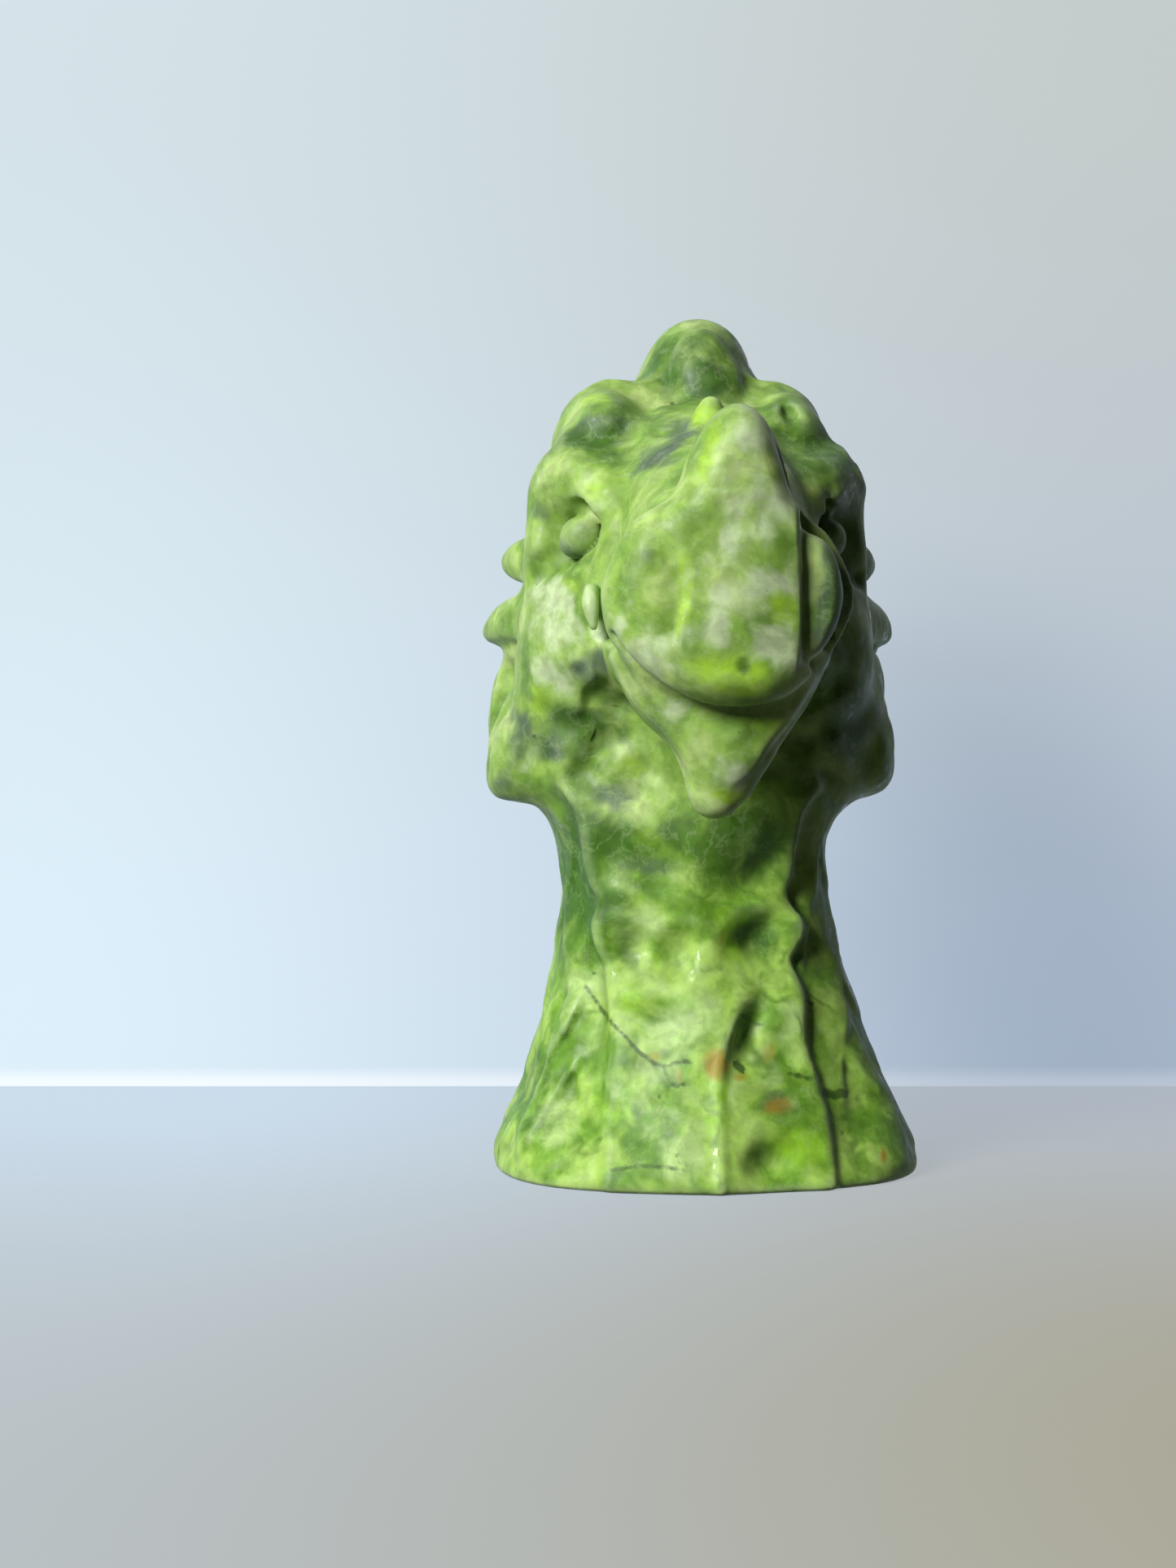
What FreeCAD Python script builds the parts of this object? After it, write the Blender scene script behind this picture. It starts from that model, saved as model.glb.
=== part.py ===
"""An upright dragon head carved from one block of pale green stone, standing on a flared neck.

The frame is in millimetres. +Z is up, the dragon looks along -Y, and left and right are the dragon's
own, so its left side is at +X. The origin lies on the flat foot, under the plane that halves the head.
The real carving is one stone. Each named solid here is one of its carved masses, cut off from the next
along the valley that the carver left between them, so neighbours meet face to face and share no volume.
"""

import FreeCAD
import Part
import math
import os

Vector = FreeCAD.Vector

OUTLINE_POINTS = 16  # points round a spline outline
ELLIPSE_DEGREE = 2.0  # an outline of a higher degree is squarer
LOFT_DEGREE = 3  # a higher degree swings out between uneven sections

# The neck: a column on a flared foot, narrowest at its waist
HEAD_FLOOR = 46.8  # height of the head's underside above the table
FOOT_WIDTH = 54.6
FOOT_FRONT_REACH = 23.6  # from the origin forward to the foot's rim, beside the throat panel
FOOT_BACK_REACH = 26.0
FOOT_SHIFT = 1.0  # the foot was ground a little to the dragon's left of the head
WAIST_DROP = 9.8  # from the head's underside down to the waist
WAIST_WIDTH = 34.8
WAIST_FRONT_REACH = 14.0
WAIST_BACK_REACH = 19.5
NECK_TOP_WIDTH = 37.6
NECK_TOP_FRONT_REACH = 13.2
NECK_TOP_BACK_REACH = 21.0
NECK_OUTLINE_DEGREE = 2.3
FOOT_OUTLINE_DEGREE = 2.7
FRONT_FLARE_DEGREE = 1.6  # above 1, the front flares out lower down than the sides
# height as a share of the waist's, how much of the flare is left there, and the keel's share of its most
FLARE_SHARES = (
    (0.0, 0.96, 0.47),
    (0.07, 1.0, 0.62),
    (0.26, 0.68, 0.97),
    (0.43, 0.44, 1.0),
    (0.60, 0.24, 0.82),
    (0.78, 0.08, 0.68),
    (1.0, 0.0, 0.59),
)

# The throat panel: the raised strip down the front of the neck, folded to a keel at the foot
PANEL_FOOT_WIDTH = 28.8
PANEL_WAIST_WIDTH = 25.4
PANEL_TOP_WIDTH = 28.4
PANEL_PROUD = 1.2  # how far the panel's side edges stand in front of the neck
KEEL_PROUD = 3.4  # how far the keel stands in front of the neck, where it does so most
KEEL_TOP_PROUD = 1.0  # the same under the head
PANEL_ROOT = 6.0  # how deep the panel's blank reaches into the neck before it is cut back
HOLLOW_DEPTH = 1.3
# a carved hollow's place across and up, and its half sizes: across as shares of the panel's waist width,
# up as shares of the waist's height
HOLLOW_SHARES = (
    (0.27, 1.03, 0.17, 0.085),
    (-0.26, 1.06, 0.18, 0.075),
    (0.26, 0.77, 0.16, 0.09),
    (-0.36, 0.775, 0.10, 0.06),
    (-0.165, 0.757, 0.09, 0.065),
    (0.22, 0.476, 0.10, 0.12),
    (0.27, 0.10, 0.15, 0.065),
)

# The skull: the main mass of the head
SKULL_HEIGHT = 54.8
SKULL_WIDTH = 43.2
SKULL_FRONT_REACH = 15.0
SKULL_BACK_REACH = 25.0
SKULL_OUTLINE_DEGREE = 2.5
# height, width, front reach and back reach, each as a share of the skull's own
SKULL_SHARES = (
    (0.0, 0.86, 0.84, 0.84),
    (0.05, 0.92, 0.88, 0.88),
    (0.18, 0.98, 0.96, 0.95),
    (0.36, 1.0, 1.0, 1.0),
    (0.54, 0.99, 0.96, 1.0),
    (0.72, 0.92, 0.82, 0.97),
    (0.84, 0.80, 0.60, 0.90),
    (0.92, 0.70, 0.36, 0.78),
    (0.97, 0.62, 0.22, 0.62),
    (1.0, 0.54, 0.12, 0.50),
)

# The muzzle: a tube that ends in a spade-shaped shield, widest at the nostril wings
MUZZLE_REACH = 43.0  # from the origin forward to the shield's face
MUZZLE_ROOT_DEPTH = 5.6  # how deep its blank starts behind the skull's front
MUZZLE_WIDTH = 29.4
WING_DROP = 9.5  # from the eyes' height down to the widest part of the snout
MUZZLE_RISE = 13.2  # from there up to the top of the shield
MUZZLE_DROP = 12.9  # from there down to the upper lip
SHIELD_THICKNESS = 7.5
SHIELD_OVERLAP = 2.5  # how far the tube runs on into the shield
# reach from root to end, then width, rise and drop, each as a share of the muzzle's own
TUBE_SHARES = (
    (0.0, 0.82, 0.90, 0.30),
    (0.30, 0.86, 0.90, 0.30),
    (0.55, 0.80, 0.90, 0.30),
    (0.76, 0.78, 0.88, 0.32),
    (1.0, 0.78, 0.80, 0.34),
)
# reach from the shield's back to its face, and the size of its outline
SHIELD_SHARES = ((0.0, 0.96), (0.25, 1.0), (0.53, 0.98), (0.76, 0.90), (0.92, 0.75), (1.0, 0.54))
VALLEY_SPREAD = 7.2  # from the middle plane to the valley beside each nostril wing
VALLEY_WIDTH = 3.2
VALLEY_DEPTH = 1.2
VALLEY_HEIGHT = 17.0
# the spade's outline from the lip up: share of the half width, and of the drop or the rise
SPADE_SHARES = (
    (0.0, -1.0),
    (0.36, -0.93),
    (0.72, -0.64),
    (0.95, -0.26),
    (1.0, 0.06),
    (0.92, 0.34),
    (0.70, 0.66),
    (0.46, 0.93),
    (0.0, 1.0),
)

# The bridge of the nose rises from behind the snout to the forehead
BRIDGE_WIDTH = 23.4
BRIDGE_RISE = 27.4  # from the wings up to its top at the forehead
BRIDGE_SETBACK = 10.0  # from the snout's face back to the foot of the bridge
BRIDGE_ROOT_DEPTH = 10.0
# reach from back to front, width and top, as shares
BRIDGE_SHARES = (
    (0.0, 1.0, 1.0),
    (0.21, 0.98, 0.91),
    (0.50, 0.93, 0.77),
    (0.68, 0.90, 0.66),
    (0.86, 0.82, 0.53),
    (1.0, 0.64, 0.40),
)

# The nose horn stands on the front of the muzzle
NOSE_HORN_RISE = 21.8  # from the wings up to its tip
NOSE_HORN_ROOT_RISE = 5.4
NOSE_HORN_WIDTH = 17.0
NOSE_HORN_DEPTH = 10.0
NOSE_HORN_LEAN = 0.8  # how far its tip lies behind its root
NOSE_HORN_SETBACK = 5.5  # from the snout's face back to the middle of the horn's root
# height, width, depth and lean, as shares
NOSE_HORN_SHARES = (
    (0.0, 1.0, 1.0, 0.0),
    (0.30, 0.88, 0.98, 0.12),
    (0.55, 0.70, 0.88, 0.34),
    (0.78, 0.52, 0.72, 0.62),
    (0.93, 0.32, 0.50, 0.88),
    (1.0, 0.14, 0.22, 1.0),
)

# The lower jaw narrows to a chin that hangs at the height of the head's underside
JAW_REACH = 36.9
JAW_ROOT_DEPTH = 4.0
JAW_WIDTH = 26.0
JAW_DROP = 3.6  # from the wings down to the jaw's top inside the mouth
CHIN_DROP = 23.8  # from the wings down to the chin's tip
# reach, width, top and bottom: the first two as shares of the jaw's own, the others of its height
JAW_SHARES = (
    (0.0, 1.0, 1.0, 0.47),
    (0.34, 1.0, 1.0, 0.42),
    (0.58, 0.97, 1.0, 0.32),
    (0.74, 0.95, 1.0, 0.15),
    (0.86, 0.95, 1.0, 0.02),
    (0.96, 0.90, 1.0, 0.0),
    (1.0, 0.66, 0.98, 0.14),
)
# the jaw's section from the chin up: share of the half width, and of the height
JAW_SECTION_SHARES = (
    (0.0, 0.0),
    (0.22, 0.01),
    (0.31, 0.11),
    (0.45, 0.30),
    (0.67, 0.47),
    (0.85, 0.67),
    (1.0, 0.93),
    (0.60, 1.0),
    (0.0, 1.0),
)

# The barb under the chin
BARB_DROP = 1.8  # how far its tip hangs below the chin
BARB_SETBACK = 5.9  # from the jaw's front back to its tip
BARB_LENGTH = 9.0
BARB_ROOT_RADIUS = 4.0
BARB_TIP_RADIUS = 2.3

# A fang stands in each corner of the mouth
FANG_REACH = 4.4  # in front of the skull
FANG_RISE = 1.0  # its root above the wings' height
FANG_LENGTH = 6.4
FANG_ROOT_RADIUS = 1.7
FANG_TIP_RADIUS = 0.8

# The small horn between the brows
BROW_HORN_PROUD = 3.9  # how far its tip stands above the bridge
BROW_HORN_REACH = 1.4  # in front of the skull
BROW_HORN_LENGTH = 10.4
BROW_HORN_ROOT_RADIUS = 4.8
BROW_HORN_TIP_RADIUS = 1.4
BROW_HORN_LEAN_ANGLE = 12.0

# The crest: two lobes, one behind the other
CREST_ROOT_DEPTH = 7.6  # how deep a lobe's blank starts below the skull's top
CREST_FRONT_PROUD = 6.8  # how far a lobe stands above the skull's top
CREST_FRONT_WIDTH = 11.6
CREST_FRONT_DEPTH = 9.5
CREST_FRONT_SETBACK = -2.2  # from the origin back to the lobe's middle
CREST_REAR_PROUD = 10.0
CREST_REAR_WIDTH = 18.0
CREST_REAR_DEPTH = 25.0
CREST_REAR_SETBACK = 11.5
# height, width and depth of a lobe, as shares
LOBE_SHARES = (
    (0.0, 1.06, 1.10),
    (0.35, 1.0, 1.0),
    (0.62, 0.84, 0.84),
    (0.82, 0.60, 0.62),
    (0.95, 0.32, 0.34),
    (1.0, 0.12, 0.12),
)

# The horns: from the brow back along the top of the skull
HORN_SPREAD = 11.7  # from the middle plane to the horn's middle over the brow
HORN_DROP = 6.0  # from the skull's top down to the horn's middle
HORN_HALF_WIDTH = 5.6
HORN_HALF_HEIGHT = 5.7
HORN_SETBACK = 5.6  # from the skull's front back to the brow end
HORN_OVERHANG = 12.2  # how far the tip reaches behind the skull
HORN_TIP_OUTWARD = 3.8  # how far the tip lies outside the brow end
HORN_SAG = 1.3  # how far its back half hangs below its middle
# length, size, outward shift and sag, as shares
HORN_SHARES = (
    (0.0, 0.36, 0.0, 1.0),
    (0.06, 0.70, 0.0, 0.90),
    (0.15, 0.90, 0.0, 0.45),
    (0.29, 1.0, 0.02, 0.0),
    (0.46, 0.90, 0.18, 0.05),
    (0.66, 0.71, 0.50, 0.90),
    (0.85, 0.47, 0.82, 0.85),
    (0.96, 0.28, 1.0, 0.10),
    (1.0, 0.15, 1.05, 0.0),
)

# The brows: heavy masses over the eyes
BROW_SPREAD = 12.8
BROW_DROP = 7.4  # from the horn's middle down to the brow's
BROW_SINK = 0.4  # how far its middle lies behind the skull's surface
BROW_HALF_WIDTH = 9.4
BROW_HALF_DEPTH = 6.0
BROW_HALF_HEIGHT = 4.6
BROW_TURN_ANGLE = 24.0  # its outer end lies further back

# The eyes
EYE_SPREAD = 15.6
EYE_DROP = 8.1  # from the brow's middle down to the eye's
EYE_PROUD = 1.2  # how far its middle stands in front of the skull's surface
EYE_RADIUS = 2.8

# The cheeks: rounded masses under the eyes
CHEEK_SPREAD = 15.6
CHEEK_DROP = 12.5  # from the eye's middle down to the cheek's
CHEEK_SINK = 5.6
CHEEK_HALF_WIDTH = 8.2
CHEEK_HALF_DEPTH = 10.6
CHEEK_HALF_HEIGHT = 9.8
CHEEK_TURN_ANGLE = 20.0  # its inner side lies further forward

# Two blunt spikes on each side of the head
UPPER_SPIKE_PROUD = 3.6  # how far a tip stands outside the skull's widest part
UPPER_SPIKE_LIFT = 32.4
UPPER_SPIKE_SETBACK = 12.0
UPPER_SPIKE_RADIUS = 2.6
MIDDLE_SPIKE_PROUD = 6.2
MIDDLE_SPIKE_LIFT = 23.5
MIDDLE_SPIKE_SETBACK = 13.5
MIDDLE_SPIKE_RADIUS = 2.3
SPIKE_LENGTH = 15.0
SPIKE_SWEEP_ANGLE = 46.0  # from straight out towards the back
SPIKE_FLARE_SHARE = 2.3  # root radius as a share of the tip's

# The frill behind each jaw corner, and the lappet in front of it
LAPPET_PROUD = 5.6  # how far a flap stands outside the skull's widest part
LAPPET_HEIGHT = 19.2
LAPPET_SETBACK = 1.4
LAPPET_THICKNESS = 15.0
FRILL_PROUD = 4.6
FRILL_LIFT = 3.2  # its lower edge above the lappet's
FRILL_HEIGHT = 17.6
FRILL_SETBACK = 15.2
FRILL_THICKNESS = 12.6
FLAP_ROOT_DEPTH = 10.3  # how deep a flap's blank starts inside the skull's side
FLAP_OUTLINE_DEGREE = 3.0
# height, reach past the root and thickness of a flap, as shares
FLAP_SHARES = (
    (0.0, 0.80, 0.62),
    (0.07, 0.93, 0.84),
    (0.18, 1.0, 1.0),
    (0.42, 0.98, 1.0),
    (0.70, 0.86, 0.82),
    (0.90, 0.74, 0.56),
    (1.0, 0.60, 0.34),
)

# The spines down the nape
SPINE_COUNT = 5
SPINE_TOP_DROP = 11.6  # from the skull's top down to the first spine
SPINE_PITCH = 16.0
SPINE_PROUD = 6.0
SPINE_LENGTH = 16.0
SPINE_ROOT_RADIUS = 8.2
SPINE_TIP_RADIUS = 1.8
SPINE_TILT_ANGLE = 24.0

# Heights that several masses share
WAIST_HEIGHT = HEAD_FLOOR - WAIST_DROP
SKULL_TOP = HEAD_FLOOR + SKULL_HEIGHT
HORN_HEIGHT = SKULL_TOP - HORN_DROP
BROW_HEIGHT = HORN_HEIGHT - BROW_DROP
EYE_HEIGHT = BROW_HEIGHT - EYE_DROP
WING_HEIGHT = EYE_HEIGHT - WING_DROP
CHEEK_HEIGHT = EYE_HEIGHT - CHEEK_DROP


def closed_spline(points):
    """A smooth closed wire through points."""
    curve = Part.BSplineCurve()
    steps = [index / len(points) for index in range(len(points) + 1)]
    curve.interpolate(Points=points, PeriodicFlag=True, Parameters=steps)
    return Part.Wire([curve.toShape()])


def outline_shares(degree):
    """Points round a rounded outline, as shares of its two half sizes."""
    shares = []
    for index in range(OUTLINE_POINTS):
        angle = 2.0 * math.pi * index / OUTLINE_POINTS
        cosine = math.cos(angle)
        sine = math.sin(angle)
        across = math.copysign(abs(cosine) ** (2.0 / degree), cosine)
        along = math.copysign(abs(sine) ** (2.0 / degree), sine)
        shares.append((across, along))
    return shares


def level_wire(middle, width, front, back, degree):
    """A closed level outline round a middle point, with its own reach to the front and the back."""
    points = []
    for across, along in outline_shares(degree):
        reach = back if along > 0 else front
        points.append(middle + Vector(width / 2.0 * across, reach * along, 0))
    return closed_spline(points)


def upright_wire(middle, half_width, half_height, degree):
    """A closed outline that stands square to the Y axis, round a middle point."""
    points = []
    for across, up in outline_shares(degree):
        points.append(middle + Vector(half_width * across, 0, half_height * up))
    return closed_spline(points)


def mirrored_outline(half_points):
    """A closed outline from its +X half, whose first and last points lie on the middle plane."""
    other_half = [Vector(-p.x, p.y, p.z) for p in reversed(half_points[1:-1])]
    return closed_spline(half_points + other_half)


def lofted(sections):
    """A smooth closed solid through its sections."""
    return Part.makeLoft(sections, True, False, False, LOFT_DEGREE).Solids[0]


def mirrored(shape):
    """The same shape on the other side of the middle plane."""
    return shape.mirror(Vector(), Vector(1, 0, 0))


def trimmed(blank, neighbours):
    """The blank without what its neighbours fill: one solid that meets them face to face."""
    rest = blank
    for neighbour in neighbours:
        rest = rest.cut(neighbour)
    return max(rest.Solids, key=lambda solid: solid.Volume)


def between(low, high, share):
    """The value a share of the way from low to high."""
    return low + (high - low) * share


def blunt_cone(root, tip, root_radius, tip_radius):
    """A cone from a root point to a tip point, rounded off at the tip."""
    axis = tip - root
    length = axis.Length
    slope = math.asin((root_radius - tip_radius) / length)
    ball_height = length - tip_radius
    shoulder_radius = tip_radius * math.cos(slope)
    shoulder_height = ball_height + tip_radius * math.sin(slope)
    middle_angle = (slope + math.pi / 2.0) / 2.0
    cap = Part.Arc(
        Vector(shoulder_radius, 0, shoulder_height),
        Vector(tip_radius * math.cos(middle_angle), 0, ball_height + tip_radius * math.sin(middle_angle)),
        Vector(0, 0, length),
    ).toShape()
    side = Part.makeLine(Vector(root_radius, 0, 0), Vector(shoulder_radius, 0, shoulder_height))
    floor = Part.makeLine(Vector(), Vector(root_radius, 0, 0))
    core = Part.makeLine(Vector(0, 0, length), Vector())
    profile = Part.Face(Part.Wire([floor, side, cap, core]))
    cone = profile.revolve(Vector(), Vector(0, 0, 1), 360.0)
    cone.Placement = FreeCAD.Placement(root, FreeCAD.Rotation(Vector(0, 0, 1), axis))
    return cone.Solids[0]


def ellipsoid(centre, half_width, half_depth, half_height, turn_angle):
    """A closed ellipsoid, turned about its upright axis."""
    matrix = FreeCAD.Matrix()
    matrix.scale(half_width, half_depth, half_height)
    matrix.move(centre)
    body = Part.makeSphere(1.0).transformGeometry(matrix)
    body.rotate(centre, Vector(0, 0, 1), turn_angle)
    return body.Solids[0]


def surface_along(body, start, direction):
    """The last point of a body on the line from a start inside it."""
    far = start + direction * body.BoundBox.DiagonalLength
    inside = body.common(Part.makeLine(start, far))
    return max((vertex.Point for vertex in inside.Vertexes), key=lambda point: point.sub(start).Length)


def outline_reach(across, width, reach, degree):
    """How far a rounded outline reaches at a distance across from its middle."""
    return reach * (1.0 - (2.0 * across / width) ** degree) ** (1.0 / degree)


def neck_width(flare):
    """The neck's width below the waist, where a share of the flare is left."""
    return between(WAIST_WIDTH, FOOT_WIDTH, flare)


def neck_front(flare):
    """The neck's reach to the front below the waist."""
    return between(WAIST_FRONT_REACH, FOOT_FRONT_REACH, flare ** FRONT_FLARE_DEGREE)


def neck_degree(flare):
    """The degree of the neck's outline below the waist."""
    return between(NECK_OUTLINE_DEGREE, FOOT_OUTLINE_DEGREE, flare)


def build_neck():
    """The column with its flared foot, up to the head's underside."""
    sections = []
    for height_share, flare, _ in FLARE_SHARES:
        middle = Vector(FOOT_SHIFT * flare, 0, WAIST_HEIGHT * height_share)
        back = between(WAIST_BACK_REACH, FOOT_BACK_REACH, flare)
        sections.append(level_wire(middle, neck_width(flare), neck_front(flare), back, neck_degree(flare)))
    top = Vector(0, 0, HEAD_FLOOR)
    sections.append(
        level_wire(top, NECK_TOP_WIDTH, NECK_TOP_FRONT_REACH, NECK_TOP_BACK_REACH, NECK_OUTLINE_DEGREE)
    )
    return lofted(sections)


def panel_section(width, neck, front, degree, keel_proud, height):
    """The panel's blank at a height: a slab with a folded front, on a neck of that width and reach."""
    half = width / 2.0
    edge = -outline_reach(half, neck, front, degree) - PANEL_PROUD
    root = PANEL_ROOT - front
    points = [
        Vector(-half, root, height),
        Vector(-half, edge, height),
        Vector(0, -front - keel_proud, height),
        Vector(half, edge, height),
        Vector(half, root, height),
    ]
    return Part.makePolygon(points + points[:1])


def build_panel(neck):
    """The raised throat strip, cut back to the neck's surface."""
    sections = []
    for height_share, flare, keel_share in FLARE_SHARES:
        width = between(PANEL_WAIST_WIDTH, PANEL_FOOT_WIDTH, flare)
        front = neck_front(flare)
        keel = KEEL_PROUD * keel_share
        height = WAIST_HEIGHT * height_share
        sections.append(panel_section(width, neck_width(flare), front, neck_degree(flare), keel, height))
    top = (NECK_TOP_WIDTH, NECK_TOP_FRONT_REACH, NECK_OUTLINE_DEGREE, KEEL_TOP_PROUD, HEAD_FLOOR)
    sections.append(panel_section(PANEL_TOP_WIDTH, *top))
    return trimmed(Part.makeLoft(sections, True, True), [neck])


def build_hollows(panel):
    """The hollows carved into the panel, which run through it into the neck where it is thin."""
    hollows = []
    for across_share, height_share, half_width_share, half_height_share in HOLLOW_SHARES:
        start = Vector(PANEL_WAIST_WIDTH * across_share, 0, WAIST_HEIGHT * height_share)
        middle = surface_along(panel, start, Vector(0, -1, 0))
        half_width = PANEL_WAIST_WIDTH * half_width_share
        half_height = WAIST_HEIGHT * half_height_share
        hollows.append(ellipsoid(middle, half_width, HOLLOW_DEPTH, half_height, 0))
    return hollows


def build_skull():
    """The main mass of the head, standing on the neck's top."""
    sections = []
    for height_share, width_share, front_share, back_share in SKULL_SHARES:
        middle = Vector(0, 0, HEAD_FLOOR + SKULL_HEIGHT * height_share)
        front = SKULL_FRONT_REACH * front_share
        back = SKULL_BACK_REACH * back_share
        sections.append(level_wire(middle, SKULL_WIDTH * width_share, front, back, SKULL_OUTLINE_DEGREE))
    return lofted(sections)


def spade_wire(reach, width, rise, drop):
    """A closed spade outline at a reach, with its own rise and drop from the wings' height."""
    half = []
    for across, up in SPADE_SHARES:
        travel = rise if up > 0 else drop
        half.append(Vector(width / 2.0 * across, -reach, WING_HEIGHT + travel * up))
    return mirrored_outline(half)


def build_valley(shield):
    """The cutter of the valley beside the left nostril wing."""
    start = Vector(VALLEY_SPREAD, SHIELD_THICKNESS - MUZZLE_REACH, WING_HEIGHT)
    middle = surface_along(shield, start, Vector(0, -1, 0))
    return ellipsoid(middle, VALLEY_WIDTH / 2.0, VALLEY_DEPTH, VALLEY_HEIGHT / 2.0, 0)


def build_muzzle(neighbours):
    """The snout, from inside the skull forward to its shield."""
    shield_back = MUZZLE_REACH - SHIELD_THICKNESS
    tube_sections = []
    for reach_share, width_share, rise_share, drop_share in TUBE_SHARES:
        reach = between(SKULL_FRONT_REACH - MUZZLE_ROOT_DEPTH, shield_back + SHIELD_OVERLAP, reach_share)
        rise = MUZZLE_RISE * rise_share
        tube_sections.append(spade_wire(reach, MUZZLE_WIDTH * width_share, rise, MUZZLE_DROP * drop_share))
    shield_sections = []
    for reach_share, size_share in SHIELD_SHARES:
        reach = between(shield_back, MUZZLE_REACH, reach_share)
        rise = MUZZLE_RISE * size_share
        shield_sections.append(spade_wire(reach, MUZZLE_WIDTH * size_share, rise, MUZZLE_DROP * size_share))
    shield = lofted(shield_sections)
    valley = build_valley(shield)
    return trimmed(lofted(tube_sections).fuse(shield), [valley, mirrored(valley)] + neighbours)


def build_bridge(neighbours):
    """The bridge of the nose, from the forehead down to the back of the snout."""
    sections = []
    for reach_share, width_share, top_share in BRIDGE_SHARES:
        reach = between(SKULL_FRONT_REACH - BRIDGE_ROOT_DEPTH, MUZZLE_REACH - BRIDGE_SETBACK, reach_share)
        half_height = BRIDGE_RISE * top_share / 2.0
        middle = Vector(0, -reach, WING_HEIGHT + half_height)
        sections.append(upright_wire(middle, BRIDGE_WIDTH / 2.0 * width_share, half_height, ELLIPSE_DEGREE))
    return trimmed(lofted(sections), neighbours)


def build_nose_horn(neighbours):
    """The horn on the snout."""
    sections = []
    for height_share, width_share, depth_share, lean_share in NOSE_HORN_SHARES:
        rise = between(NOSE_HORN_ROOT_RISE, NOSE_HORN_RISE, height_share)
        setback = NOSE_HORN_SETBACK + NOSE_HORN_LEAN * lean_share
        middle = Vector(0, setback - MUZZLE_REACH, WING_HEIGHT + rise)
        half_depth = NOSE_HORN_DEPTH / 2.0 * depth_share
        width = NOSE_HORN_WIDTH * width_share
        sections.append(level_wire(middle, width, half_depth, half_depth, ELLIPSE_DEGREE))
    return trimmed(lofted(sections), neighbours)


def build_jaw(neighbours):
    """The lower jaw with its hanging chin."""
    floor = WING_HEIGHT - CHIN_DROP
    height = CHIN_DROP - JAW_DROP
    sections = []
    for reach_share, width_share, top_share, bottom_share in JAW_SHARES:
        reach = between(SKULL_FRONT_REACH - JAW_ROOT_DEPTH, JAW_REACH, reach_share)
        half = []
        for across, up in JAW_SECTION_SHARES:
            level = floor + height * between(bottom_share, top_share, up)
            half.append(Vector(JAW_WIDTH / 2.0 * width_share * across, -reach, level))
        sections.append(mirrored_outline(half))
    return trimmed(lofted(sections), neighbours)


def build_barb(neighbours):
    """The small lobe that hangs behind the chin."""
    tip = Vector(0, BARB_SETBACK - JAW_REACH, WING_HEIGHT - CHIN_DROP - BARB_DROP)
    root = tip + Vector(0, 0, BARB_LENGTH)
    return trimmed(blunt_cone(root, tip, BARB_ROOT_RADIUS, BARB_TIP_RADIUS), neighbours)


def build_left_fang(muzzle, neighbours):
    """The fang in the left corner of the mouth, against the muzzle's side."""
    start = Vector(0, -SKULL_FRONT_REACH - FANG_REACH, WING_HEIGHT + FANG_RISE)
    root = surface_along(muzzle, start, Vector(1, 0, 0))
    tip = root - Vector(0, 0, FANG_LENGTH)
    return trimmed(blunt_cone(root, tip, FANG_ROOT_RADIUS, FANG_TIP_RADIUS), neighbours)


def build_brow_horn(bridge, neighbours):
    """The small horn where the brows meet, on the bridge of the nose."""
    start = Vector(0, -SKULL_FRONT_REACH - BROW_HORN_REACH, bridge.BoundBox.ZMin)
    foot = surface_along(bridge, start, Vector(0, 0, 1))
    lean = math.radians(BROW_HORN_LEAN_ANGLE)
    direction = Vector(0, -math.sin(lean), math.cos(lean))
    tip = foot + direction * BROW_HORN_PROUD
    root = tip - direction * BROW_HORN_LENGTH
    return trimmed(blunt_cone(root, tip, BROW_HORN_ROOT_RADIUS, BROW_HORN_TIP_RADIUS), neighbours)


def build_crest_lobe(proud, width, depth, setback, neighbours):
    """A rounded lobe that stands on the top of the skull."""
    sections = []
    for height_share, width_share, depth_share in LOBE_SHARES:
        height = SKULL_TOP + between(-CREST_ROOT_DEPTH, proud, height_share)
        half_depth = depth / 2.0 * depth_share
        middle = Vector(0, setback, height)
        sections.append(level_wire(middle, width * width_share, half_depth, half_depth, ELLIPSE_DEGREE))
    return trimmed(lofted(sections), neighbours)


def build_left_horn(neighbours):
    """The horn on the dragon's left, from the brow back past the skull."""
    sections = []
    for length_share, size_share, outward_share, sag_share in HORN_SHARES:
        middle = Vector(
            HORN_SPREAD + HORN_TIP_OUTWARD * outward_share,
            between(HORN_SETBACK - SKULL_FRONT_REACH, SKULL_BACK_REACH + HORN_OVERHANG, length_share),
            HORN_HEIGHT - HORN_SAG * sag_share,
        )
        half_width = HORN_HALF_WIDTH * size_share
        sections.append(upright_wire(middle, half_width, HORN_HALF_HEIGHT * size_share, ELLIPSE_DEGREE))
    return trimmed(lofted(sections), neighbours)


def face_point(skull, spread, height, sink):
    """A point behind the skull's front surface, at a place on the dragon's left."""
    surface = surface_along(skull, Vector(spread, 0, height), Vector(0, -1, 0))
    return surface + Vector(0, sink, 0)


def build_left_brow(skull, neighbours):
    """The heavy brow over the dragon's left eye."""
    centre = face_point(skull, BROW_SPREAD, BROW_HEIGHT, BROW_SINK)
    brow = ellipsoid(centre, BROW_HALF_WIDTH, BROW_HALF_DEPTH, BROW_HALF_HEIGHT, BROW_TURN_ANGLE)
    return trimmed(brow, neighbours)


def build_left_eye(skull):
    """The dragon's left eyeball, half sunk in the face."""
    return Part.makeSphere(EYE_RADIUS, face_point(skull, EYE_SPREAD, EYE_HEIGHT, -EYE_PROUD))


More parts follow.
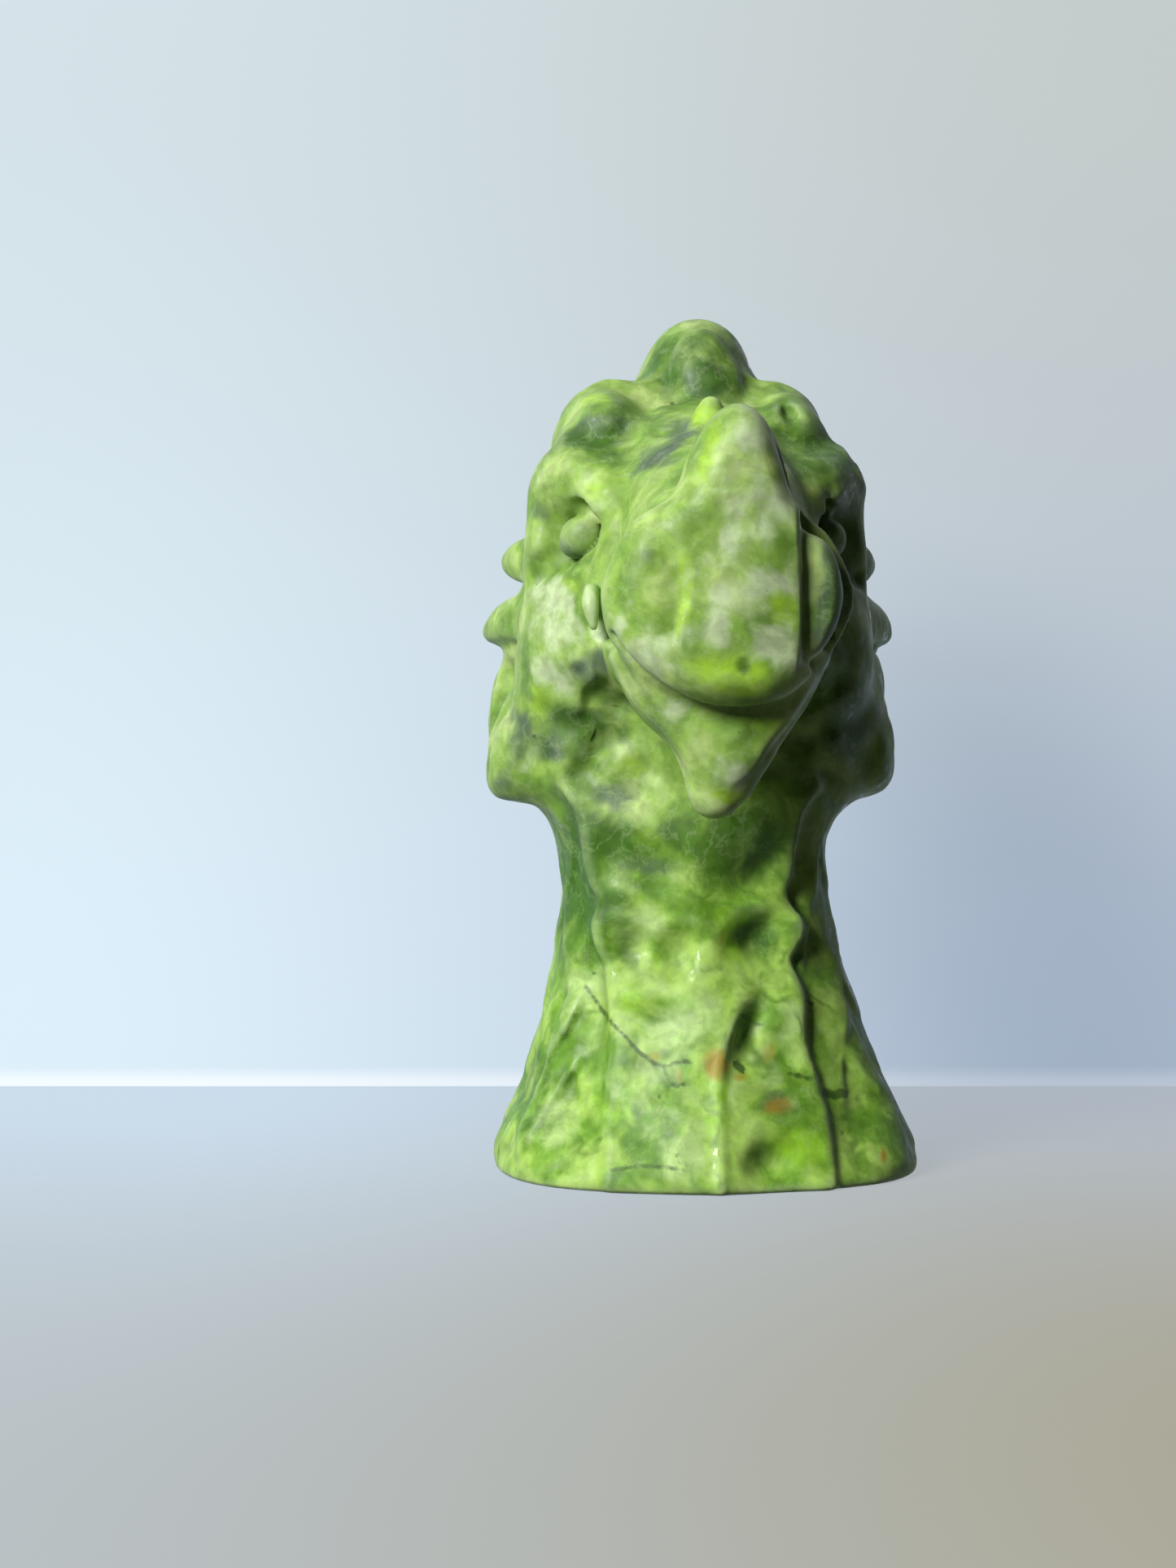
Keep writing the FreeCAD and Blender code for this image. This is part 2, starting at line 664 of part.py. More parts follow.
def build_left_cheek(skull, neighbours):
    """The rounded mass under the dragon's left eye."""
    centre = face_point(skull, CHEEK_SPREAD, CHEEK_HEIGHT, CHEEK_SINK)
    cheek = ellipsoid(centre, CHEEK_HALF_WIDTH, CHEEK_HALF_DEPTH, CHEEK_HALF_HEIGHT, CHEEK_TURN_ANGLE)
    return trimmed(cheek, neighbours)


def build_left_spike(proud, lift, setback, tip_radius, neighbours):
    """A blunt spike on the dragon's left, swept towards the back."""
    sweep = math.radians(SPIKE_SWEEP_ANGLE)
    direction = Vector(math.cos(sweep), math.sin(sweep), 0)
    tip_ball = Vector(SKULL_WIDTH / 2.0 + proud - tip_radius, setback, HEAD_FLOOR + lift)
    tip = tip_ball + direction * tip_radius
    root = tip - direction * SPIKE_LENGTH
    return trimmed(blunt_cone(root, tip, tip_radius * SPIKE_FLARE_SHARE, tip_radius), neighbours)


def build_left_flap(proud, lift, height, setback, thickness, neighbours):
    """A flap of the frill on the dragon's left: a rounded plate that widens downwards."""
    root = SKULL_WIDTH / 2.0 - FLAP_ROOT_DEPTH
    sections = []
    for height_share, reach_share, thickness_share in FLAP_SHARES:
        reach = (FLAP_ROOT_DEPTH + proud) * reach_share
        half_thickness = thickness / 2.0 * thickness_share
        middle = Vector(root + reach / 2.0, setback, HEAD_FLOOR + lift + height * height_share)
        sections.append(level_wire(middle, reach, half_thickness, half_thickness, FLAP_OUTLINE_DEGREE))
    return trimmed(lofted(sections), neighbours)


def build_spines(neck, skull, horns):
    """The spines down the nape, each trimmed to the masses round it and to the spines above it."""
    tilt = math.radians(SPINE_TILT_ANGLE)
    direction = Vector(0, math.cos(tilt), math.sin(tilt))
    body = neck.fuse(skull)
    spines = []
    for index in range(SPINE_COUNT):
        start = Vector(0, 0, SKULL_TOP - SPINE_TOP_DROP - SPINE_PITCH * index)
        tip = surface_along(body, start, Vector(0, 1, 0)) + direction * SPINE_PROUD
        root = tip - direction * SPINE_LENGTH
        blank = blunt_cone(root, tip, SPINE_ROOT_RADIUS, SPINE_TIP_RADIUS)
        spines.append(trimmed(blank, [neck, skull] + horns + spines))
    return spines


def build_head(neck, panel):
    """The masses of the head on the middle plane, and those of its left side, by name."""
    whole_skull = build_skull()
    eye = build_left_eye(whole_skull)
    eyes = [eye, mirrored(eye)]
    skull = trimmed(whole_skull, eyes)
    core = [skull, neck, panel]
    muzzle = build_muzzle(core)
    bridge = build_bridge([skull, muzzle])
    jaw = build_jaw(core + [muzzle])
    rear_lobe = build_crest_lobe(
        CREST_REAR_PROUD, CREST_REAR_WIDTH, CREST_REAR_DEPTH, CREST_REAR_SETBACK, [skull]
    )
    front_lobe = build_crest_lobe(
        CREST_FRONT_PROUD, CREST_FRONT_WIDTH, CREST_FRONT_DEPTH, CREST_FRONT_SETBACK,
        [skull, rear_lobe, bridge],
    )
    horn = build_left_horn([rear_lobe, front_lobe, bridge] + eyes)
    brow = build_left_brow(whole_skull, [skull, muzzle, horn, bridge] + eyes)
    cheek = build_left_cheek(whole_skull, core + [muzzle, jaw, brow] + eyes)
    lappet = build_left_flap(
        LAPPET_PROUD, 0, LAPPET_HEIGHT, LAPPET_SETBACK, LAPPET_THICKNESS, [skull, neck, cheek]
    )
    frill = build_left_flap(
        FRILL_PROUD, FRILL_LIFT, FRILL_HEIGHT, FRILL_SETBACK, FRILL_THICKNESS, [skull, neck, lappet]
    )
    middle_spike = build_left_spike(
        MIDDLE_SPIKE_PROUD, MIDDLE_SPIKE_LIFT, MIDDLE_SPIKE_SETBACK, MIDDLE_SPIKE_RADIUS,
        [skull, cheek, frill, lappet],
    )
    upper_spike = build_left_spike(
        UPPER_SPIKE_PROUD, UPPER_SPIKE_LIFT, UPPER_SPIKE_SETBACK, UPPER_SPIKE_RADIUS,
        [skull, middle_spike],
    )
    middle_masses = {
        "skull": trimmed(skull, [horn, mirrored(horn)]),
        "muzzle": muzzle,
        "nose_bridge": bridge,
        "nose_horn": build_nose_horn([muzzle, bridge]),
        "lower_jaw": jaw,
        "chin_barb": build_barb([jaw, neck, panel]),
        "brow_horn": build_brow_horn(bridge, [skull, muzzle, front_lobe, bridge, brow, mirrored(brow)]),
        "crest_front": front_lobe,
        "crest_rear": rear_lobe,
    }
    left_masses = {
        "eye": eye,
        "brow": brow,
        "horn": horn,
        "cheek": cheek,
        "fang": build_left_fang(muzzle, [skull, muzzle, jaw, cheek]),
        "lappet": lappet,
        "frill": frill,
        "middle_spike": middle_spike,
        "upper_spike": upper_spike,
    }
    return middle_masses, left_masses


def main():
    """Builds each carved mass and writes one STEP file for each."""
    whole_neck = build_neck()
    whole_panel = build_panel(whole_neck)
    hollows = build_hollows(whole_panel)
    neck = trimmed(whole_neck, hollows)
    panel = trimmed(whole_panel, hollows)
    nodes = {"neck": neck, "throat_panel": panel}
    middle_masses, left_masses = build_head(neck, panel)
    nodes.update(middle_masses)
    for name, shape in left_masses.items():
        nodes["left_" + name] = shape
        nodes["right_" + name] = mirrored(shape)
    horns = [nodes["left_horn"], nodes["right_horn"]]
    for index, spine in enumerate(build_spines(neck, nodes["skull"], horns)):
        nodes["nape_spine_" + str(index + 1)] = spine
    os.makedirs("parts", exist_ok=True)
    for name, shape in nodes.items():
        shape.exportStep(os.path.join("parts", name + ".step"))
        print(name, len(shape.Solids), round(shape.Volume, 1), shape.isValid())


main()
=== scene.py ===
"""Dresses the upright dragon head carved from one block of pale green stone.

Each carved mass of the frame is replaced by a finished stone surface. The whole carving is shaped once, as
a field of distances on a grid, the way a carver takes a block down: big masses first, then hollows, then
edges and folds. Its skin is then divided into the same named masses as the frame, along the valleys
between them, so that neighbours share their border and no seam shows.

Sizes and places inside the carving are in millimetres, as in the frame's own source; meshes, lamps and the
camera are in metres. The dragon looks along -Y, its left side is at +X, and the foot stands at z = 0.
"""

from __future__ import annotations

import logging
import math
from dataclasses import dataclass, field
from enum import Enum
from typing import Iterable, Protocol, Sequence

import bpy
import numpy as np
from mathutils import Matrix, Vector


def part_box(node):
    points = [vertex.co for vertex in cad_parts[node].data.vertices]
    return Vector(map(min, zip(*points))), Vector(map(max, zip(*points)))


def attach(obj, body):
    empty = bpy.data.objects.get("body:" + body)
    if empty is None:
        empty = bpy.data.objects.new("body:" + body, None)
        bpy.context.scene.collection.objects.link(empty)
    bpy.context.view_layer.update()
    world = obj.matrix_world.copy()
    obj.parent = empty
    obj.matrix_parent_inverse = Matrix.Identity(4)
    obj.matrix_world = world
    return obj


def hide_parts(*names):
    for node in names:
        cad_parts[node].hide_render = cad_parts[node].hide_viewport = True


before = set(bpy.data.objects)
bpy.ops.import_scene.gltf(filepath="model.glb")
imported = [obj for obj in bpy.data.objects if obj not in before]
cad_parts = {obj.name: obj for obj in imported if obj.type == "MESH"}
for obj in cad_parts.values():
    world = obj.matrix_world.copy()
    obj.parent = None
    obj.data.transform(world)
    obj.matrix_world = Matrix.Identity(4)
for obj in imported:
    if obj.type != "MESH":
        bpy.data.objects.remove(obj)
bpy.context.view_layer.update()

LOG = logging.getLogger("dragon_head")
MM = 0.001
PITCH = 0.42  # the carving grid's step, in millimetres
REACH_MARGIN = 2.5  # how far beyond a form its distances are worked out, in millimetres
BULGE_MARGIN = 6.0  # how far a slab's face may stand before its outline's own points, in millimetres
LEFT_BREADTH = 0.935  # how far out the dragon's left features sit, as a share of their drawing
LEFT_SPREAD = 1.045  # the same for the spikes there
CAP_DEPTH = 1.4  # how far inside the stone a piece's own lid lies, in millimetres
CLOUD_EDGE = 1.35  # where a cloud of another tint ends, as a share of its half sizes
CLOUD_FADE = 1.1  # over how much of them it dies away
ROOT = "root"

Point = tuple[float, float, float]
Flat = tuple[float, float]
Window = tuple[slice, slice, slice]
Colour = tuple[float, float, float]
Array = np.ndarray
Socket = bpy.types.NodeSocket
Feed = Socket | Colour | float

BLOCK_LOW: Point = (-31.0, -47.0, -1.3)
BLOCK_HIGH: Point = (31.0, 42.0, 115.0)
HAND_WAVES = ((0.18, 6.5), (0.09, 2.6), (0.03, 1.1))  # height and size of what grinding by hand leaves
HASH_PRIMES = np.array((73856093, 19349663, 83492791, 1274126177), np.uint64)


class Mass(Enum):
    """The carved masses, by the name of the frame's node that each one stands for."""

    NECK = "neck"
    THROAT_PANEL = "throat_panel"
    SKULL = "skull"
    MUZZLE = "muzzle"
    NOSE_BRIDGE = "nose_bridge"
    NOSE_HORN = "nose_horn"
    LOWER_JAW = "lower_jaw"
    CHIN_BARB = "chin_barb"
    BROW_HORN = "brow_horn"
    CREST_FRONT = "crest_front"
    CREST_REAR = "crest_rear"
    LEFT_BROW = "left_brow"
    RIGHT_BROW = "right_brow"
    LEFT_HORN = "left_horn"
    RIGHT_HORN = "right_horn"
    LEFT_CHEEK = "left_cheek"
    RIGHT_CHEEK = "right_cheek"
    LEFT_FANG = "left_fang"
    RIGHT_FANG = "right_fang"
    LEFT_EYE = "left_eye"
    RIGHT_EYE = "right_eye"
    LEFT_LAPPET = "left_lappet"
    RIGHT_LAPPET = "right_lappet"
    LEFT_FRILL = "left_frill"
    RIGHT_FRILL = "right_frill"
    LEFT_MIDDLE_SPIKE = "left_middle_spike"
    RIGHT_MIDDLE_SPIKE = "right_middle_spike"
    LEFT_UPPER_SPIKE = "left_upper_spike"
    RIGHT_UPPER_SPIKE = "right_upper_spike"
    NAPE_SPINE_1 = "nape_spine_1"
    NAPE_SPINE_2 = "nape_spine_2"
    NAPE_SPINE_3 = "nape_spine_3"
    NAPE_SPINE_4 = "nape_spine_4"
    NAPE_SPINE_5 = "nape_spine_5"

    @property
    def number(self) -> int:
        """The mass's number on the carving grid."""
        return MASSES.index(self)


MASSES = list(Mass)


class Side(Enum):
    """The dragon's two sides, as the sign of X."""

    LEFT = 1
    RIGHT = -1

    def mass(self, stem: str) -> Mass:
        """The mass of that name on this side."""
        return Mass(self.name.lower() + "_" + stem)

    @property
    def breadth(self) -> float:
        """How far out the side's features sit, as a share of their drawing."""
        return LEFT_BREADTH if self is Side.LEFT else 1.0

    @property
    def spread(self) -> float:
        """The same for the spikes, which reach farther on its left."""
        return LEFT_SPREAD if self is Side.LEFT else 1.0


class View(Enum):
    """A direction that relief is drawn in: the axes across, up and into the stone."""

    FRONT = (0, 2, 1)
    SIDE = (1, 2, 0)


def smooth_step(value: Array) -> Array:
    """A soft step from 0 to 1 over values from 0 to 1."""
    value = np.clip(value, 0.0, 1.0)
    return value * value * (3.0 - 2.0 * value)


def smooth_least(first: Array, second: Array, soft: float) -> Array:
    """The smaller of two distances, rounded where they cross.

    Args:
        first: one field of distances.
        second: the other.
        soft: the width of the rounding, in millimetres.

    Returns:
        The joined field.
    """
    least = np.minimum(first, second)
    if soft <= 0.0:
        return least
    near = np.maximum(soft - np.abs(first - second), 0.0) / soft
    return least - near * near * (0.25 * soft)


def smooth_most(first: Array, second: Array, soft: float) -> Array:
    """The larger of two distances, rounded where they cross."""
    return -smooth_least(-first, -second, soft)


def smooth_path(points: Sequence[tuple[float, ...]], steps: int = 6, closed: bool = False) -> Array:
    """A Catmull-Rom curve through points.

    Args:
        points: the places it passes through.
        steps: how many pieces each span is divided into.
        closed: whether the last point joins the first.

    Returns:
        The points along the curve, one row each.
    """
    knots = np.asarray(points, float)
    if len(knots) < 3:
        return knots
    if closed:
        padded = np.vstack([knots[-1:], knots, knots[:2]])
    else:
        padded = np.vstack([2.0 * knots[0] - knots[1], knots, 2.0 * knots[-1] - knots[-2]])
    shares = np.arange(steps)[:, None] / steps
    spans = []
    for before, start, end, after in zip(padded[:-3], padded[1:-2], padded[2:-1], padded[3:]):
        slope_in = (end - before) / 2.0
        slope_out = (after - start) / 2.0
        bend = 3.0 * (end - start) - 2.0 * slope_in - slope_out
        twist = 2.0 * (start - end) + slope_in + slope_out
        spans.append(start + shares * (slope_in + shares * (bend + shares * twist)))
    if not closed:
        spans.append(knots[-1:])
    return np.vstack(spans)


def smooth_column(stations: Sequence[float], values: Sequence[float], places: Array) -> Array:
    """Values read off a smooth curve through (station, value) pairs, at places along it."""
    curve = smooth_path(list(zip(stations, values)), steps=8)
    return np.interp(places, curve[:, 0], curve[:, 1]).astype(np.float32)


def mirrored_point(point: Point, side: Side, narrowed: bool = True) -> Point:
    """A place given for the dragon's left, on either side."""
    breadth = side.breadth if narrowed else side.spread
    return (point[0] * side.value * breadth, point[1], point[2])


class Form(Protocol):
    """A solid form that can be added to the block or cut from it."""

    def reach(self) -> tuple[Point, Point]:
        """The form's lowest and highest corners."""

    def distance(self, x: Array, y: Array, z: Array) -> Array:
        """The signed distance to the form's surface, negative inside."""


@dataclass(frozen=True)
class Ball:
    """An ellipsoid.

    Attributes:
        centre: its middle.
        half: its half sizes.
        turn: degrees about X, Y and Z, applied in that order.
    """

    centre: Point
    half: Point
    turn: Point = (0.0, 0.0, 0.0)

    def mirrored(self, side: Side) -> Ball:
        """The same ball for a side, where this one is drawn for the dragon's left."""
        tilt, lean, swing = self.turn
        turn = (tilt, lean * side.value, swing * side.value)
        return Ball(mirrored_point(self.centre, side), self.half, turn)

    def reach(self) -> tuple[Point, Point]:
        """The corners of the cube round the ball."""
        size = max(self.half)
        return tuple(c - size for c in self.centre), tuple(c + size for c in self.centre)

    def matrix(self) -> Array:
        """The rotation from the frame into the ball's own axes."""
        result = np.eye(3)
        for axis, degrees in enumerate(self.turn):
            cosine = math.cos(math.radians(degrees))
            sine = math.sin(math.radians(degrees))
            first, second = [other for other in range(3) if other != axis]
            if axis == 1:
                sine = -sine
            spin = np.eye(3)
            spin[first, first] = spin[second, second] = cosine
            spin[first, second] = -sine
            spin[second, first] = sine
            result = spin @ result
        return result.T.astype(np.float32)

    def distance(self, x: Array, y: Array, z: Array) -> Array:
        """The signed distance, close to true near the surface."""
        offset = (x - self.centre[0], y - self.centre[1], z - self.centre[2])
        scaled_square = 0.0
        slope_square = 0.0
        for row, half in zip(self.matrix(), self.half):
            along = row[0] * offset[0] + row[1] * offset[1] + row[2] * offset[2]
            scaled_square = scaled_square + (along / half) ** 2
            slope_square = slope_square + (along / half ** 2) ** 2
        scaled = np.sqrt(scaled_square) + 1e-6
        return scaled * (scaled - 1.0) / (np.sqrt(slope_square) + 1e-6)


@dataclass(frozen=True)
class Limb:
    """A tapering limb along a curve.

    Attributes:
        points: places along it.
        radii: its radius at each place.
        flat: how much it is pressed along each axis, 1 where it is round.
        steps: pieces per span.
    """

    points: tuple[Point, ...]
    radii: tuple[float, ...]
    flat: Point = (1.0, 1.0, 1.0)
    steps: int = 5

    def mirrored(self, side: Side, narrowed: bool = True) -> Limb:
        """The same limb for a side, where this one is drawn for the dragon's left."""
        points = tuple(mirrored_point(point, side, narrowed) for point in self.points)
        return Limb(points, self.radii, self.flat, self.steps)

    def path(self) -> Array:
        """Points along the limb with the radius in the fourth column."""
        rows = [point + (radius,) for point, radius in zip(self.points, self.radii)]
        return smooth_path(rows, self.steps)

    def reach(self) -> tuple[Point, Point]:
        """The corners of the box round the limb."""
        path = self.path()
        size = path[:, 3].max()
        return tuple(path[:, :3].min(axis=0) - size), tuple(path[:, :3].max(axis=0) + size)

    def distance(self, x: Array, y: Array, z: Array) -> Array:
        """The signed distance to the nearest piece of the limb."""
        path = self.path().astype(np.float32)
        flat = np.asarray(self.flat, np.float32)
        places = (x / flat[0], y / flat[1], z / flat[2])
        best = None
        for start, end in zip(path[:-1], path[1:]):
            root = start[:3] / flat
            span = end[:3] / flat - root
            offset = [place - origin for place, origin in zip(places, root)]
            share = sum(o * s for o, s in zip(offset, span)) / max(float(span @ span), 1e-6)
            share = np.clip(share, 0.0, 1.0)
            square = sum((o - s * share) ** 2 for o, s in zip(offset, span))
            found = np.sqrt(square) - (start[3] + (end[3] - start[3]) * share)
            best = found if best is None else np.minimum(best, found)
        return best * float(flat.min())


@dataclass(frozen=True)
class Station:
    """One section of a trunk.

    Attributes:
        at: its place along the trunk's axis.
        middle: its middle across and up.
        right: reach towards -X.
        left: reach towards +X.
        low: reach towards the second cross axis's low end.
        high: reach towards its high end.
        degree: 2 for an ellipse, more for a squarer outline.
    """

    at: float
    middle: Flat
    right: float
    left: float
    low: float
    high: float
    degree: float = 2.3


@dataclass(frozen=True)
class Trunk:
    """A thick form with rounded sections along the Z axis, or along Y where lying is set."""

    stations: tuple[Station, ...]
    lying: bool = False
    end_soft: float = 2.0

    def reach(self) -> tuple[Point, Point]:
        """The corners of the box round the trunk."""
        width = max(max(s.right, s.left) + abs(s.middle[0]) for s in self.stations)
        low = min(s.middle[1] - s.low for s in self.stations)
        high = max(s.middle[1] + s.high for s in self.stations)
        first = min(s.at for s in self.stations)
        last = max(s.at for s in self.stations)
        if self.lying:
            return (-width, first, low), (width, last, high)
        return (-width, low, first), (width, high, last)

    def distance(self, x: Array, y: Array, z: Array) -> Array:
        """The signed distance, measured along the ray from the trunk's axis."""
        along, second = (y, z) if self.lying else (z, y)
        rows = sorted(self.stations, key=lambda s: s.at)
        stops = [s.at for s in rows]

        def run(values: Iterable[float]) -> Array:
            """The values along the trunk."""
            return smooth_column(stops, list(values), along.ravel()).reshape(along.shape)

        across = x - run(s.middle[0] for s in rows)
        up = second - run(s.middle[1] for s in rows)
        degree = run(s.degree for s in rows)
        width = np.where(across < 0, run(s.right for s in rows), run(s.left for s in rows))
        height = np.where(up < 0, run(s.low for s in rows), run(s.high for s in rows))
        share = (np.abs(across) / width) ** degree + (np.abs(up) / height) ** degree
        share = np.maximum(share, 1e-5) ** (1.0 / degree)
        ray = np.sqrt(across ** 2 + up ** 2)
        side = ray - ray / share
        ends = np.maximum(stops[0] - along, along - stops[-1])
        return smooth_most(side, ends, self.end_soft)


@dataclass(frozen=True)
class Sheet:
    """A gently curved upright surface, as the Y that it has over the front view.

    Attributes:
        level: its Y at the middle.
        middle: that place, across and up.
        slope: change of Y per millimetre across and up.
        bend: change of Y per square millimetre across and up.
    """

    level: float
    middle: Flat = (0.0, 0.0)
    slope: Flat = (0.0, 0.0)
    bend: Flat = (0.0, 0.0)

    def depth(self, x: Array, z: Array) -> Array:
        """The surface's Y over the front view."""
        across = x - self.middle[0]
        up = z - self.middle[1]
        tilt = self.slope[0] * across + self.slope[1] * up
        return self.level + tilt + self.bend[0] * across ** 2 + self.bend[1] * up ** 2


def outline_distance(x: Array, z: Array, outline: Array) -> Array:
    """The signed distance to a closed outline in the front view, negative inside.

    Args:
        x: places across, shaped to broadcast against z.
        z: places up.
        outline: the outline's points, one row each.

    Returns:
        The distances, over both.
    """
    best = None
    inside = np.zeros(np.broadcast(x, z).shape, bool)
    for start, end in zip(outline, np.roll(outline, -1, axis=0)):
        span = end - start
        share = ((x - start[0]) * span[0] + (z - start[1]) * span[1]) / max(float(span @ span), 1e-9)
        share = np.clip(share, 0.0, 1.0)
        square = (x - start[0] - span[0] * share) ** 2 + (z - start[1] - span[1] * share) ** 2
        best = square if best is None else np.minimum(best, square)
        if start[1] != end[1]:
            crossing = (end[0] - start[0]) * (z - start[1]) / (end[1] - start[1]) + start[0]
            inside ^= ((start[1] > z) != (end[1] > z)) & (x < crossing)
    return (np.sqrt(best) * np.where(inside, -1.0, 1.0)).astype(np.float32)


@dataclass(frozen=True)
class Slab:
    """A slab whose outline is drawn in front view, with pillowed faces.

    Attributes:
        outline: points of the closed outline, across and up.
        front: its front face before it is pillowed.
        back: its back face before it is pillowed.
        front_pillow: how far the front face swells towards its middle.
        back_pillow: the same behind.
        pillow_width: how far in from the edge the swelling ends.
        soft: the rounding of its edges.
    """

    outline: tuple[Flat, ...]
    front: Sheet
    back: Sheet
    front_pillow: float = 1.5
    back_pillow: float = 0.0
    pillow_width: float = 4.0
    soft: float = 1.0

    def mirrored(self, side: Side) -> Slab:
        """The same slab for a side, where this one is drawn for the dragon's left."""
        way = side.value
        wide = way * side.breadth
        outline = tuple((wide * across, up) for across, up in self.outline)
        flipped = []
        for face in (self.front, self.back):
            middle = (wide * face.middle[0], face.middle[1])
            flipped.append(Sheet(face.level, middle, (way * face.slope[0], face.slope[1]), face.bend))
        pillows = (self.front_pillow, self.back_pillow, self.pillow_width)
        return Slab(outline, *flipped, *pillows, self.soft)

    def faces(self, x: Array, z: Array) -> tuple[Array, Array, Array]:
        """The distance to the outline, and the Y of the front and the back face."""
        edge = outline_distance(x, z, smooth_path(self.outline, 5, closed=True))
        rise = 1.0 - (1.0 - np.clip(-edge / self.pillow_width, 0.0, 1.0)) ** 2
        front = self.front.depth(x, z) - self.front_pillow * rise
        back = self.back.depth(x, z) + self.back_pillow * rise
        return edge, front, back

    def reach(self) -> tuple[Point, Point]:
        """The corners of the box round the slab."""
        points = np.asarray(self.outline)
        low, high = points.min(axis=0), points.max(axis=0)
        _, front, back = self.faces(points[:, 0], points[:, 1])
        near = float(front.min()) - self.front_pillow - BULGE_MARGIN
        return (low[0], near, low[1]), (high[0], float(back.max()) + self.back_pillow, high[1])

    def distance(self, x: Array, y: Array, z: Array) -> Array:
        """The signed distance to the slab."""
        edge, front, back = self.faces(x, z)
        faces = smooth_most(front - y, y - back, self.soft)
        return smooth_most(edge, faces, self.soft)


class Relief(Protocol):
    """A raised or sunk mark drawn in a view."""

    def reach(self) -> tuple[Flat, Flat]:
        """The mark's corners in its view."""

    def height_at(self, across: Array, up: Array) -> Array:
        """How far the mark raises the surface, in millimetres."""


@dataclass(frozen=True)
class Stroke:
    """A ridge, or with a negative height a groove, along a curve.

    Attributes:
        points: places that it passes through in its view.
        height: how far it stands out.
        width: half its width, where it has fallen to about a third.
        lee: the width to the right of its course, as a share of the width to the left.
        fade: the share of its length over which each end dies away.
    """

    points: tuple[Flat, ...]
    height: float
    width: float = 0.8
    lee: float = 1.0
    fade: float = 0.25

    def mirrored(self) -> Stroke:
        """The stroke on the other side of the middle plane, in front view."""
        turned = tuple((-across, up) for across, up in reversed(self.points))
        return Stroke(turned, self.height, self.width, self.lee, self.fade)

    def reach(self) -> tuple[Flat, Flat]:
        """The corners round the stroke."""
        points = np.asarray(self.points)
        spread = 2.2 * self.width * max(1.0, self.lee)
        return tuple(points.min(axis=0) - spread), tuple(points.max(axis=0) + spread)

    def height_at(self, across: Array, up: Array) -> Array:
        """The stroke's height over its view."""
        path = smooth_path(self.points, 5)
        lengths = np.hypot(*np.diff(path, axis=0).T)
        travelled = np.concatenate([[0.0], np.cumsum(lengths)])
        shape = np.broadcast(across, up).shape
        best = np.full(shape, 1e9, np.float32)
        bank = np.zeros(shape, np.float32)
        course = np.zeros(shape, np.float32)
        for index, (start, end) in enumerate(zip(path[:-1], path[1:])):
            span = end - start
            square_length = max(float(span @ span), 1e-9)
            share = ((across - start[0]) * span[0] + (up - start[1]) * span[1]) / square_length
            share = np.clip(share, 0.0, 1.0)
            square = (across - start[0] - span[0] * share) ** 2 + (up - start[1] - span[1] * share) ** 2
            closer = square < best
            turn = span[0] * (up - start[1]) - span[1] * (across - start[0])
            best = np.where(closer, square, best)
            bank = np.where(closer, turn, bank)
            course = np.where(closer, travelled[index] + lengths[index] * share, course)
        course = course / max(travelled[-1], 1e-6)
        width = np.where(bank > 0, self.width, self.width * self.lee)
        ends = 1.0
        if self.fade > 0.0:
            ends = smooth_step(course / self.fade) * smooth_step((1.0 - course) / self.fade)
        return self.height * np.exp(-best / width ** 2) * ends


@dataclass(frozen=True)
class Dimple:
    """A hollow, or with a negative depth a swelling, with an elliptical outline.

    Attributes:
        centre: its middle in its view.
        half: its half sizes.
        depth: how deep it goes.
        turn: degrees that its first axis is turned towards up.
        edge: 2 for a soft bowl, more for a flatter floor with a crisper rim.
    """

    centre: Flat
    half: Flat
    depth: float
    turn: float = 0.0
    edge: float = 2.0

    def mirrored(self) -> Dimple:
        """The dimple on the other side of the middle plane, in front view."""
        return Dimple((-self.centre[0], self.centre[1]), self.half, self.depth, -self.turn, self.edge)

    def reach(self) -> tuple[Flat, Flat]:
        """The corners round the dimple."""
        spread = 1.9 * max(self.half)
        return tuple(c - spread for c in self.centre), tuple(c + spread for c in self.centre)

    def height_at(self, across: Array, up: Array) -> Array:
        """The dimple's height over its view."""
        cosine = math.cos(math.radians(self.turn))
        sine = math.sin(math.radians(self.turn))
        first = ((across - self.centre[0]) * cosine + (up - self.centre[1]) * sine) / self.half[0]
        second = ((up - self.centre[1]) * cosine - (across - self.centre[0]) * sine) / self.half[1]
        spread = np.sqrt(first ** 2 + second ** 2)
        return -self.depth * np.exp(-(spread ** self.edge))


